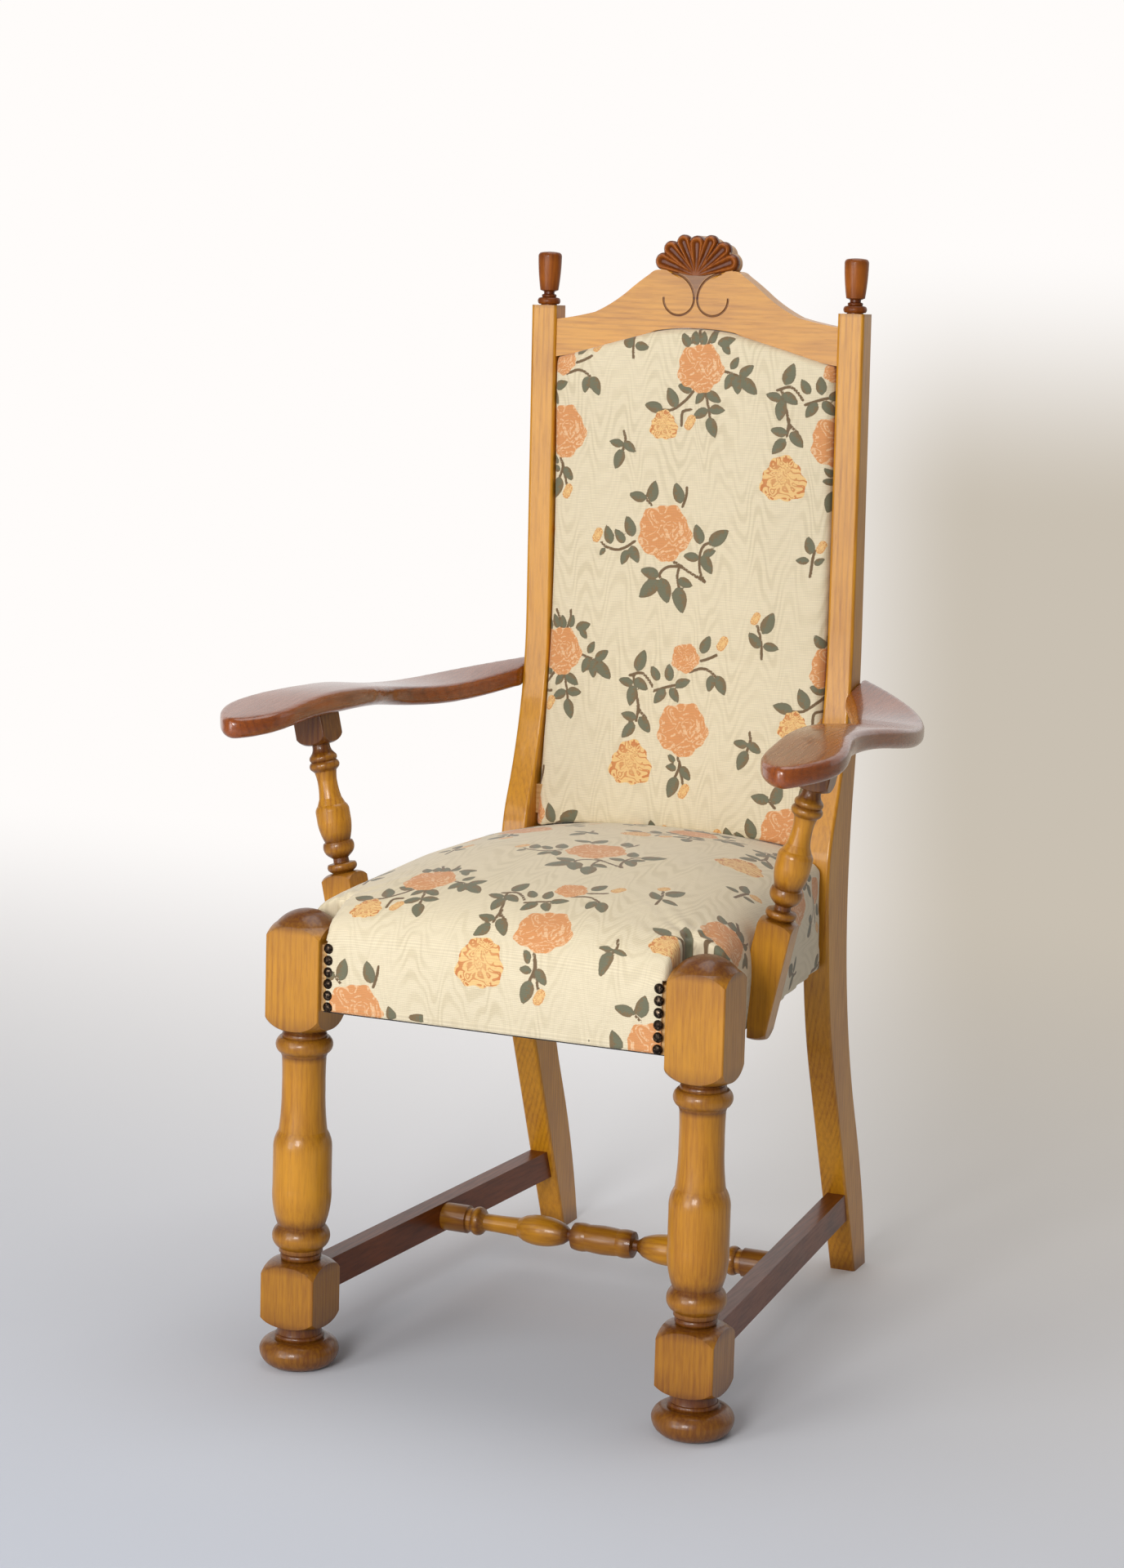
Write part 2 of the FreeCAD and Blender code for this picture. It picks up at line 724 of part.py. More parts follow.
def seat_side(back, inwards="0"):
    """Half the seat's width at a depth, less an amount."""
    return "(%s - (%s))" % (slanted(back, "Sizes.seat_half_front", "Sizes.seat_half_back",
                                    "Sizes.seat_post_back"), inwards)


def stretcher_side(back, inwards="0"):
    """Where a side stretcher's middle is at a depth, less an amount."""
    return "(%s - (%s))" % (slanted(back, LEG_X, POST_X, "Sizes.foot_front"), inwards)


def post_face(level):
    """How far back the post's front face is, on its two flat stretches."""
    if value(level) < value("Sizes.knee_level - Sizes.knee_ease"):
        ends = ("Sizes.foot_front", "0", "Sizes.knee_front", "Sizes.knee_level")
    else:
        ends = ("Sizes.knee_front", "Sizes.knee_level", "Sizes.loin_front", "Sizes.loin_level")
    return "(%s + (%s - %s) * (%s - %s) / (%s - %s))" % (
        ends[0], ends[2], ends[0], level, ends[1], ends[3], ends[1])


def slanted_rail(name, side, inner, outer, low, high, tenons):
    """A rail from the leg's flat rear face to the post's sloping front face."""
    plan = flat_prism(name + "_plan_stock", [
        (side(LEG_HALF, inner), LEG_HALF), (side(LEG_HALF, outer), LEG_HALF),
        (side("Sizes.foot_front", outer), "Sizes.foot_front"),
        (side("Sizes.foot_front", inner), "Sizes.foot_front"),
    ], low, high)
    elevation = side_prism(name + "_side_stock", [
        (LEG_HALF, low), (post_face(low), low), (post_face(high), high), (LEG_HALF, high),
    ], LEG_X, "Sizes.leg_spacing")
    rail = several("Common", name + "_stock", [plan, elevation])
    pegs = [block("%s_tenon_%d" % (name, number), *box) for number, box in enumerate(tenons)]
    return several("Fuse", name, [rail] + pegs)


def tenon_box(across, back, level, height):
    """Corners of a tenon that runs back from the leg face or the post face."""
    half = "Sizes.tenon_thickness / 2"
    return (["%s - %s" % (across, half), back[0], "%s - %s / 2" % (level, height)],
            ["%s + %s" % (across, half), back[1], "%s + %s / 2" % (level, height)])


def cross_tenon(across, length, back, thickness, level, height):
    """Corners of a tenon that runs outwards from a piece's right-hand end."""
    return (["%s - Sizes.overrun" % across, "%s - %s / 2" % (back, thickness),
             "%s - %s / 2" % (level, height)],
            ["%s + %s" % (across, length), "%s + %s / 2" % (back, thickness),
             "%s + %s / 2" % (level, height)])


# The arm's outline in plan, anticlockwise from its front: corners as shares
# of its spread from the post and of its length from its front, and the share
# of its length by which each is eased.
ARM_PLAN_SHARES = [
    (0.735, 0.000, 0.020), (0.963, 0.000, 0.035), (0.933, 0.240, 0.054),
    (0.711, 0.337, 0.019), (1.000, 0.512, 0.037), (0.997, 0.592, 0.042),
    (0.679, 0.820, 0.151), (0.000, 1.000), (0.000, 0.909),
    (0.439, 0.599, 0.101), (0.313, 0.342, 0.059), (0.346, 0.168, 0.101),
]
# The wave of its top and underside: shares of the length and of the wave,
# and the share of the length by which each corner is eased.
ARM_WAVE_SHARES = [
    (-0.030, 0.54), (0.188, 0.40, 0.075), (0.406, 0.92, 0.100),
    (0.683, 0.00, 0.126), (1.020, 1.04),
]


def wave_region(base, far):
    """A region from the arm's wave at a base level out to a far level."""
    edge = [("%s * %.3f - Sizes.arm_reach" % (ARM_LENGTH, row[0]),
             "%s + Sizes.arm_wave * %.3f" % (base, row[1]))
            + tuple("%s * %.3f" % (ARM_LENGTH, ease) for ease in row[2:])
            for row in ARM_WAVE_SHARES]
    return eased(edge + [(edge[-1][0], far), (edge[0][0], far)])


def arm():
    """The arm, sawn in plan and in elevation, with its edges rounded."""
    piece = body("arm_stock")
    plan = sketch_on(piece, "arm_plan", "XY_Plane")
    outline(plan, eased([
        ("%s + Sizes.arm_spread * %.3f" % (POST_OUTER, row[0]),
         "%s * %.3f - Sizes.arm_reach" % (ARM_LENGTH, row[1]))
        + tuple("%s * %.3f" % (ARM_LENGTH, ease) for ease in row[2:])
        for row in ARM_PLAN_SHARES]))
    depth = "(Sizes.arm_thickness + 2 * Sizes.arm_wave + 2 * Sizes.overrun)"
    pad(piece, plan, depth)
    under = "Sizes.overrun"
    over = "(Sizes.overrun + Sizes.arm_thickness)"
    for name, base, far in (("arm_under", under, "-Sizes.overrun"),
                            ("arm_over", over, "%s + Sizes.overrun" % depth)):
        wave = sketch_on(piece, name, "YZ_Plane")
        outline(wave, wave_region(base, far))
        saw = piece.newObject("PartDesign::Pocket", name + "_sawn")
        saw.Profile = wave
        saw.Midplane = True
        bind(saw, Length="2 * (%s + Sizes.arm_spread + Sizes.overrun)" % POST_OUTER)
    doc.recompute()
    limit = value("%s + Sizes.fit" % POST_OUTER)
    rims = chosen_edges(saw.Shape, lambda edge, run, middle: (
        abs(run.z) < 0.5 and abs(run.x) < 0.999 and middle.x > limit))
    rounded(piece, saw, rims, "Sizes.arm_round")
    place(piece, "0", "0", "Sizes.arm_level - Sizes.arm_thickness - Sizes.overrun")
    return piece


# How far the seat's sides turn in towards the back, and the way they face.
SIDE_ANGLE = math.degrees(math.atan2(
    value("Sizes.seat_half_front - Sizes.seat_half_back"),
    value("Sizes.seat_post_back - %s" % LEG_HALF)))
SIDE_NORMAL = FreeCAD.Rotation(Z_AXIS, SIDE_ANGLE).multVec(X_AXIS)


def arm_post():
    """Square stock turned above the block that is screwed to the seat."""
    piece = body("arm_post_stock")
    half = "(Sizes.arm_post_square / 2)"
    block_length = "Sizes.arm_post_block"
    head = "(Sizes.arm_post_block + Sizes.arm_post_turned)"
    total = "(%s + Sizes.arm_post_head)" % head
    square_stock(piece, "arm_post_square", "Sizes.arm_post_square", total,
                 "Sizes.arm_post_arris")
    lathe = sketch_on(piece, "arm_post_turning", "XZ_Plane")
    corner = "%s * %.3f" % (half, CORNER_SHARE)
    heel = "%s * %.3f" % (half, ARM_POST_HEEL_SHARE)
    clear = "(%s + Sizes.overrun)" % corner
    outline(lathe, [
        (clear, "-Sizes.overrun"),
        (heel, "-Sizes.overrun"),
        (heel, "0", 0.20),
        (corner, "Sizes.arm_post_heel"),
        (corner, "%s - Sizes.arm_post_shoulder" % block_length, 0.30),
    ] + turning(block_length, "Sizes.arm_post_turned", half, ARM_POST_SHARES) + [
        ("%s * %.3f" % (half, ARM_POST_NECK_SHARE), head, 0.36),
        (corner, "%s + Sizes.arm_post_shoulder + Sizes.overrun" % head),
        (corner, "%s + Sizes.overrun" % total),
        (clear, "%s + Sizes.overrun" % total),
    ])
    revolve(piece, lathe, "Groove")
    side_turn = FreeCAD.Rotation(Z_AXIS, SIDE_ANGLE)
    lean = FreeCAD.Rotation(Y_AXIS, value("Sizes.arm_post_lean"))
    piece.Placement = FreeCAD.Placement(FreeCAD.Vector(), lean * side_turn)
    place(piece, "Sizes.arm_post_across", "Sizes.arm_post_back", "Sizes.arm_post_level")
    return piece


def standing_section(name, points, back):
    """A free outline in an upright plane at a depth."""
    sketch = doc.addObject("Sketcher::SketchObject", name)
    outline(sketch, points)
    sketch.Placement = FreeCAD.Placement(FreeCAD.Vector(), FreeCAD.Rotation(X_AXIS, 90))
    place(sketch, "0", back)
    return sketch


def level_section(name, points, level):
    """A free outline in a level plane."""
    sketch = doc.addObject("Sketcher::SketchObject", name)
    outline(sketch, points)
    place(sketch, "0", "0", level)
    return sketch


def loft(name, sections):
    solid = doc.addObject("Part::Loft", name)
    solid.Sections = sections
    solid.Solid = True
    return solid


# The seat from front to back: shares of its depth, then of its height for
# the crown and for the edge where the side turns over.
SEAT_SHARES = [
    (0.000, 0.537, 0.416), (0.020, 0.671, 0.537), (0.073, 0.785, 0.590),
    (0.175, 0.886, 0.631), (0.460, 1.000, 0.685), (0.725, 0.987, 0.738),
    (0.925, 0.900, 0.752), (1.000, 0.846, 0.725),
]
ROLL_RISE_SHARE = 0.50
# Shares of its height where the back's foot meets it.
SEAT_REAR_SHARES = (0.890, 0.748)


def seat_section(back, crown, edge, inset, low):
    """The seat's outline at a depth, drawn in all round by an inset."""
    height = "(Sizes.seat_crown - Sizes.seat_low)"
    side = seat_side(back, inset)
    top = "(Sizes.seat_low + %s * %.3f - (%s))" % (height, crown, inset)
    shoulder = "(Sizes.seat_low + %s * %.3f - (%s))" % (height, edge, inset)
    turn = "(%s - Sizes.seat_roll)" % side
    brow = "(%s + (%s - %s) * %.3f)" % (shoulder, top, shoulder, ROLL_RISE_SHARE)
    return both_halves([
        (side, low), (side, shoulder, 0.22),
        (turn, brow, crown_bend(turn, "%s - %s" % (top, brow))),
        ("0", top),
    ])


def seat_form(name, inset, low):
    """The stuffed seat, drawn in all round, from a level up to its crown."""
    sections = []
    depth = "(Sizes.seat_end + Sizes.seat_face)"
    for number, (along, crown, edge) in enumerate(SEAT_SHARES):
        back = "%s * %.3f - Sizes.seat_face" % (depth, along)
        if number == 0:
            back += " + (%s)" % inset
        if number == len(SEAT_SHARES) - 1:
            back += " - (%s)" % inset
        points = seat_section(back, crown, edge, inset, low)
        sections.append(standing_section("%s_%d" % (name, number), points, back))
    return loft(name, sections)


def under_back(name, clearance):
    """The arch that the seat's crown takes out of the back's foot."""
    points = seat_section("Sizes.seat_post_back", *SEAT_REAR_SHARES,
                          "-(%s)" % clearance, "Sizes.seat_low")
    return loft(name, [
        standing_section(name + "_near", points, "Sizes.seat_post_back - Sizes.overrun"),
        standing_section(name + "_far", points, "Sizes.foot_back")])


def corner_cuts(name, gap):
    """Room for the legs and the posts at the seat's four corners."""
    leg = (["%s - (%s)" % (LEG_INNER, gap), "-Sizes.arm_reach", "Sizes.seat_low - Sizes.overrun"],
           ["%s + Sizes.leg_square" % LEG_X, "%s + %s" % (LEG_HALF, gap),
            "Sizes.seat_crown + Sizes.overrun"])
    post = (["%s - (%s)" % (POST_INNER, gap), "Sizes.seat_post_back - (%s)" % gap,
             "Sizes.seat_low - Sizes.overrun"],
            ["%s + Sizes.leg_square" % POST_X, "Sizes.foot_back",
             "Sizes.seat_crown + Sizes.overrun"])
    boxes = [leg, post, left_of(leg), left_of(post)]
    return [block("%s_%d" % (name, number), *box) for number, box in enumerate(boxes)]


# The back from its foot up: shares of the rise to its middle level and of
# the way back that its face leans; then the same from there to the top.
BACK_LOW_SHARES = [(0.00, 0.00), (0.20, 0.27), (0.60, 0.73), (1.00, 1.00)]
BACK_TOP_SHARES = [(0.50, 0.20), (1.00, 1.00)]


def back_form(name, near, far, side_gap, crown="Sizes.back_crown"):
    """A slice of the upholstered back, between two depths behind its face."""
    stations = []
    rise = "(Sizes.back_mid_level - Sizes.back_low)"
    lean = "(Sizes.back_mid_front - Sizes.back_low_front)"
    for up, back in BACK_LOW_SHARES:
        stations.append(("Sizes.back_low + %s * %.2f" % (rise, up),
                         "Sizes.back_low_front + %s * %.2f" % (lean, back)))
    rise = "(Sizes.arch_level + Sizes.overrun - Sizes.back_mid_level)"
    lean = "(Sizes.back_top_front - Sizes.back_mid_front)"
    for up, back in BACK_TOP_SHARES:
        stations.append(("Sizes.back_mid_level + %s * %.2f" % (rise, up),
                         "Sizes.back_mid_front + %s * %.2f" % (lean, back)))
    side = "(%s - (%s))" % (POST_INNER, side_gap)
    turn = "(%s - Sizes.back_roll)" % side
    sections = []
    for number, (level, face) in enumerate(stations):
        front = "(%s + %s)" % (face, near)
        rear = "(%s + %s)" % (face, far)
        if crown == "0":
            points = [(side, rear), (side, front), ("0", front)]
        else:
            points = [(side, rear), (side, "%s + Sizes.back_roll" % front, -0.35),
                      (turn, front, -crown_bend(turn, crown)),
                      ("0", "%s - %s" % (front, crown))]
        sections.append(level_section("%s_%d" % (name, number), both_halves(points), level))
    return loft(name, sections)


def below_level(name, level):
    """Everything behind the seat's front that lies below a level."""
    return block(name, ("-" + POST_X, "0", "0"), (POST_X, "Sizes.foot_back", level))


def round_headed(name, shank_radius, shank, head_radius, head, bend):
    """A nail or screw along its own axis, its head's flat side at zero."""
    piece = body(name)
    profile = sketch_on(piece, name + "_profile", "XZ_Plane")
    outline(profile, [
        ("0", "-" + shank), (shank_radius, "-" + shank), (shank_radius, "0"),
        (head_radius, "0", bend), ("0", head),
    ])
    revolve(piece, profile)
    return piece


def turned_to(piece, axis, across, back, up):
    """Turn a piece's own axis to a direction and place it."""
    turn = FreeCAD.Rotation(Z_AXIS, axis)
    piece.Placement = FreeCAD.Placement(FreeCAD.Vector(), turn)
    place(piece, across, back, up)
    return piece


# Joints: the corners of every tenon, named by the piece that carries it.
SIDE_FRONT = tenon_box(
    seat_side(LEG_HALF, "%s + Sizes.rail_thickness / 2" % SKIN),
    ("%s - Sizes.tenon_length" % LEG_HALF, "%s + Sizes.overrun" % LEG_HALF),
    RAIL_MIDDLE, "Sizes.tenon_height")
SIDE_REAR = tenon_box(
    seat_side("Sizes.seat_post_back", "%s + Sizes.rail_thickness / 2" % SKIN),
    ("Sizes.seat_post_back - Sizes.overrun", "%s + Sizes.rear_tenon_length"
     % post_face("Sizes.rail_low")),
    RAIL_MIDDLE, "Sizes.tenon_height")
STRETCHER_FRONT = tenon_box(
    stretcher_side(LEG_HALF),
    ("%s - Sizes.stretcher_tenon_length" % LEG_HALF, "%s + Sizes.overrun" % LEG_HALF),
    "Sizes.stretcher_level", "Sizes.stretcher_tenon_height")
STRETCHER_REAR = tenon_box(
    stretcher_side(post_face("Sizes.stretcher_level")),
    ("%s - Sizes.overrun - Sizes.tenon_thickness" % post_face("Sizes.stretcher_level"),
     "%s + Sizes.stretcher_tenon_length" % post_face("Sizes.stretcher_level")),
    "Sizes.stretcher_level", "Sizes.stretcher_tenon_height")
FRONT_END = cross_tenon(LEG_INNER, "Sizes.tenon_length",
                        "(%s + Sizes.rail_thickness / 2)" % RAIL_FRONT,
                        "Sizes.tenon_thickness", RAIL_MIDDLE, "Sizes.tenon_height")
REAR_END = cross_tenon(POST_INNER, "Sizes.tenon_length",
                       "(Sizes.rear_rail_front + Sizes.rail_thickness / 2)",
                       "Sizes.tenon_thickness", RAIL_MIDDLE, "Sizes.tenon_height")
BACK_END = cross_tenon(POST_INNER, "Sizes.back_tenon_length",
                       "(Sizes.back_rail_front + Sizes.back_rail_thickness / 2)",
                       "Sizes.tenon_thickness",
                       "(Sizes.back_rail_low + Sizes.back_rail_height / 2)",
                       "Sizes.back_tenon_height")
CREST_END = cross_tenon(POST_INNER, "Sizes.back_tenon_length",
                        "(Sizes.crest_front + Sizes.crest_thickness / 2)",
                        "Sizes.tenon_thickness",
                        "((Sizes.crest_end_low + Sizes.crest_end_high) / 2)",
                        "Sizes.back_tenon_height")
ARM_END = (["%s - Sizes.arm_tenon_length" % POST_OUTER,
            "Sizes.arm_tenon_back - Sizes.arm_tenon_width / 2",
            "Sizes.arm_tenon_level - Sizes.tenon_thickness / 2"],
           ["%s + Sizes.arm_tenon_length" % POST_OUTER,
            "Sizes.arm_tenon_back + Sizes.arm_tenon_width / 2",
            "Sizes.arm_tenon_level + Sizes.tenon_thickness / 2"])


def straight_rail(name, half, back, thickness, low, height, end):
    """A rail between the two sides, with a tenon at each end."""
    bar = block(name + "_bar", ("-" + half, back, low),
                (half, "%s + %s" % (back, thickness), "%s + %s" % (low, height)))
    return several("Fuse", name, [bar, block(name + "_tenon_right", *end),
                                  block(name + "_tenon_left", *left_of(end))])


# Front legs and their feet.
leg = cut("front_leg_right", front_leg(), [
    loose_box("leg_mortise_front", *FRONT_END),
    loose_box("leg_mortise_side", *SIDE_FRONT),
    loose_box("leg_mortise_low", *STRETCHER_FRONT),
    rod("leg_dowel_hole", "Sizes.dowel_radius + Sizes.fit",
        "Sizes.dowel_length + Sizes.fit + Sizes.overrun",
        (LEG_X, "0", "Sizes.bun_height - Sizes.overrun"), Z_AXIS),
])
node(leg, "front_leg_right")
mirrored(leg, "front_leg_left")
bun = node(bun_foot(), "bun_foot_right")
mirrored(bun, "bun_foot_left")

# Back posts and their finials.
post = cut("back_post_right", back_post(), [
    loose_box("post_mortise_side", *SIDE_REAR),
    loose_box("post_mortise_low", *STRETCHER_REAR),
    loose_box("post_mortise_rear", *REAR_END),
    loose_box("post_mortise_back", *BACK_END),
    loose_box("post_mortise_crest", *CREST_END),
    loose_box("post_mortise_arm", *ARM_END),
    rod("post_pin_hole", "Sizes.finial_pin_radius + Sizes.fit",
        "Sizes.finial_pin_length + Sizes.fit + Sizes.overrun",
        (POST_X, "(Sizes.top_front + Sizes.top_back) / 2",
         "Sizes.post_height - Sizes.finial_pin_length - Sizes.fit"), Z_AXIS),
])
node(post, "back_post_right")
mirrored(post, "back_post_left")
top_turning = node(finial(), "finial_right")
mirrored(top_turning, "finial_left")

# Crest rail and the rail across the foot of the back.
crest_bar = several("Fuse", "crest_bar", [
    crest_rail(), block("crest_tenon_right", *CREST_END),
    block("crest_tenon_left", *left_of(CREST_END))])
scrolls = [
    scroll_cut("scroll_right", "Sizes.scroll_across", "Sizes.scroll_radius", "180",
               "Sizes.scroll_turn"),
    scroll_cut("sweep_right", "Sizes.scroll_across - Sizes.scroll_radius + Sizes.sweep_radius",
               "Sizes.sweep_radius", "180 - Sizes.sweep_turn", "Sizes.sweep_turn"),
]
scrolls += [reflection(groove, groove.Name.replace("right", "left")) for groove in scrolls]
node(cut("crest_rail", crest_bar, fluted_lobes() + scrolls), "crest_rail")
node(straight_rail("back_lower_rail", POST_INNER, "Sizes.back_rail_front",
                   "Sizes.back_rail_thickness", "Sizes.back_rail_low",
                   "Sizes.back_rail_height", BACK_END), "back_lower_rail")

# Nails up both ends of the seat's front, with holes in cover and rail.
nail_holes = []
nails = []
for number in range(int(value("Sizes.nail_count"))):
    level = "Sizes.nail_level + Sizes.nail_pitch * %d" % number
    for side, name in (("Sizes.nail_spacing / 2", "right"),
                       ("-Sizes.nail_spacing / 2", "left")):
        nail = round_headed("upholstery_nail_%s_%d" % (name, number + 1),
                            "Sizes.nail_shank_radius", "Sizes.nail_shank",
                            "Sizes.nail_radius", "Sizes.nail_dome",
                            crown_bend("Sizes.nail_radius", "Sizes.nail_dome"))
        nails.append(turned_to(nail, -Y_AXIS, side, "-Sizes.seat_face", level))
        nail_holes.append(rod("nail_hole_%s_%d" % (name, number + 1),
                              "Sizes.nail_shank_radius + Sizes.fit",
                              "Sizes.nail_shank + Sizes.fit + Sizes.overrun",
                              (side, "-Sizes.seat_face - Sizes.overrun", level), Y_AXIS))

# Screws from inside each side rail into the arm post's block.
screw_holes = []
screws = []
inner_face = seat_side("Sizes.arm_post_back", SKIN_AND_RAIL)
for number in range(int(value("Sizes.screw_count"))):
    level = "Sizes.screw_level + Sizes.screw_pitch * %d" % number
    screw = round_headed("arm_post_screw_right_%d" % (number + 1), "Sizes.screw_radius",
                         "Sizes.screw_length", "Sizes.screw_head_radius",
                         "Sizes.screw_head",
                         crown_bend("Sizes.screw_head_radius", "Sizes.screw_head"))
    screws.append(turned_to(screw, -SIDE_NORMAL, inner_face, "Sizes.arm_post_back", level))
    screw_holes.append(rod("screw_hole_%d" % (number + 1), "Sizes.screw_radius + Sizes.fit",
                           "Sizes.screw_length + Sizes.fit",
                           (inner_face, "Sizes.arm_post_back", level), SIDE_NORMAL))

# Seat frame.
front_rail = straight_rail("front_rail_bar", LEG_INNER, RAIL_FRONT, "Sizes.rail_thickness",
                           "Sizes.rail_low", "Sizes.rail_height", FRONT_END)
node(cut("front_rail", front_rail, nail_holes), "front_rail")
node(straight_rail("rear_rail", POST_INNER, "Sizes.rear_rail_front", "Sizes.rail_thickness",
                   "Sizes.rail_low", "Sizes.rail_height", REAR_END), "rear_rail")
side_rail = cut("side_rail_right", slanted_rail(
    "side_rail_bar", seat_side, SKIN_AND_RAIL, SKIN, "Sizes.rail_low", RAIL_TOP,
    [SIDE_FRONT, SIDE_REAR]), screw_holes)
node(side_rail, "side_rail_right")
mirrored(side_rail, "side_rail_left")

# Corner blocks glued inside the seat frame.
BLOCK_LOW = "(%s - Sizes.corner_block_height / 2)" % RAIL_MIDDLE
BLOCK_HIGH = "(%s + Sizes.corner_block_height / 2)" % RAIL_MIDDLE
front_far = "(%s + Sizes.corner_block_leg)" % LEG_HALF
rear_far = "(Sizes.seat_post_back - Sizes.corner_block_leg)"
front_inside = seat_side(LEG_HALF, SKIN_AND_RAIL)
rear_inside = seat_side("Sizes.rear_rail_front", SKIN_AND_RAIL)
front_stock = flat_prism("block_stock_front", [
    ("min(%s; %s) - Sizes.corner_block_leg" % (LEG_INNER, front_inside), FRONT_RAIL_REAR),
    (seat_side(FRONT_RAIL_REAR, SKIN_AND_RAIL), FRONT_RAIL_REAR),
    (seat_side(front_far, SKIN_AND_RAIL), front_far),
], BLOCK_LOW, BLOCK_HIGH)
front_block = cut("corner_block_front_right", front_stock, [
    block("block_leg_corner", (LEG_INNER, "-" + LEG_HALF, "0"),
          ("%s + Sizes.leg_square" % LEG_INNER, LEG_HALF, "Sizes.seat_crown"))])
rear_stock = flat_prism("block_stock_rear", [
    ("min(%s; %s) - Sizes.corner_block_leg" % (POST_INNER, rear_inside),
     "Sizes.rear_rail_front"),
    (rear_inside, "Sizes.rear_rail_front"),
    (seat_side(rear_far, SKIN_AND_RAIL), rear_far),
], BLOCK_LOW, BLOCK_HIGH)
rear_block = cut("corner_block_rear_right", rear_stock, [
    block("block_post_corner", (POST_INNER, "Sizes.seat_post_back", "0"),
          (POST_OUTER, "Sizes.foot_back", "Sizes.seat_crown"))])
for piece, end in ((front_block, "front"), (rear_block, "rear")):
    node(piece, "corner_block_%s_right" % end)
    mirrored(piece, "corner_block_%s_left" % end)

# Stretchers. The cross stretcher is turned, with a pin at each end.
HALF_WIDTH = "Sizes.stretcher_width / 2"
STRETCHER_LOW = "(Sizes.stretcher_level - Sizes.stretcher_height / 2)"
STRETCHER_HIGH = "(Sizes.stretcher_level + Sizes.stretcher_height / 2)"
side_bar = slanted_rail("side_stretcher_bar", stretcher_side, HALF_WIDTH, "-" + HALF_WIDTH,
                        STRETCHER_LOW, STRETCHER_HIGH, [STRETCHER_FRONT, STRETCHER_REAR])
cross_end = stretcher_side("Sizes.cross_back", HALF_WIDTH)
side_stretcher = cut("side_stretcher_right", side_bar, [rod(
    "cross_pin_hole", "Sizes.cross_pin_radius + Sizes.fit",
    "Sizes.cross_pin_length + Sizes.fit + Sizes.overrun",
    ("%s - Sizes.overrun" % cross_end, "Sizes.cross_back", "Sizes.stretcher_level"), X_AXIS)])
node(side_stretcher, "side_stretcher_right")
mirrored(side_stretcher, "side_stretcher_left")


def cross_stretcher():
    piece = body("cross_turning")
    profile = sketch_on(piece, "cross_profile", "XZ_Plane")
    rows = [("Sizes.cross_half * %.3f" % row[0] if row[0] else "0",
             "Sizes.cross_radius * %.3f" % row[1]) + tuple(row[2:]) for row in CROSS_SHARES]
    far = "(Sizes.cross_half + Sizes.stretcher_width / 2)"
    plain = rows[-1][1]
    right = [(far, "0"), (far, plain)]
    for index in range(len(rows) - 1, -1, -1):
        bend = bend_of(rows[index - 1]) if index else 0
        right.append((rows[index][0], rows[index][1], bend))
    outline(profile, both_halves(right))
    revolve(piece, profile, axis="H_Axis")
    place(piece, "0", "Sizes.cross_back", "Sizes.stretcher_level")
    return piece


right_end = flat_prism("cross_trim_right", [
    (stretcher_side(LEG_HALF, HALF_WIDTH), LEG_HALF),
    (stretcher_side(LEG_HALF, "-" + LEG_X), LEG_HALF),
    (stretcher_side("Sizes.foot_front", "-" + LEG_X), "Sizes.foot_front"),
    (stretcher_side("Sizes.foot_front", HALF_WIDTH), "Sizes.foot_front"),
], "Sizes.overrun", "Sizes.seat_low")
trimmed = cut("cross_trimmed", cross_stretcher(),
              [right_end, reflection(right_end, "cross_trim_left")])
pin_reach = "(%s + Sizes.cross_pin_length)" % cross_end
pin = rod("cross_pin", "Sizes.cross_pin_radius", "2 * %s" % pin_reach,
          ("-" + pin_reach, "Sizes.cross_back", "Sizes.stretcher_level"), X_AXIS)
pin_core = rod("cross_pin_core", "Sizes.cross_pin_radius + Sizes.overrun",
               "2 * (%s - Sizes.cross_pin_length)" % cross_end,
               ("-(%s - Sizes.cross_pin_length)" % cross_end, "Sizes.cross_back",
                "Sizes.stretcher_level"), X_AXIS)
node(several("Fuse", "cross_stretcher", [trimmed, cut("cross_pins", pin, [pin_core])]),
     "cross_stretcher")

# Arms and arm posts. The post's block is cut flat against the seat's side.
arm_blank = several("Fuse", "arm_with_tenon", [arm(), block("arm_tenon", *ARM_END)])
ARM_UNDER_SHARE = 0.71
arm_under = "(Sizes.arm_level - Sizes.arm_thickness + Sizes.arm_wave * %.2f)" % ARM_UNDER_SHARE
arm_lean = "tan(Sizes.arm_post_lean * 1 deg)"
pin_across = "(Sizes.arm_post_across + (%s - Sizes.arm_post_level) * %s)" % (arm_under, arm_lean)
arm_right = cut("arm_right", arm_blank, [rod(
    "arm_pin_hole", "Sizes.arm_post_pin_radius + Sizes.fit",
    "Sizes.arm_post_pin_length + Sizes.fit + Sizes.overrun",
    (pin_across, "Sizes.arm_post_back", "%s - Sizes.overrun" % arm_under), Z_AXIS)])
node(arm_right, "arm_right")
mirrored(arm_right, "arm_left")

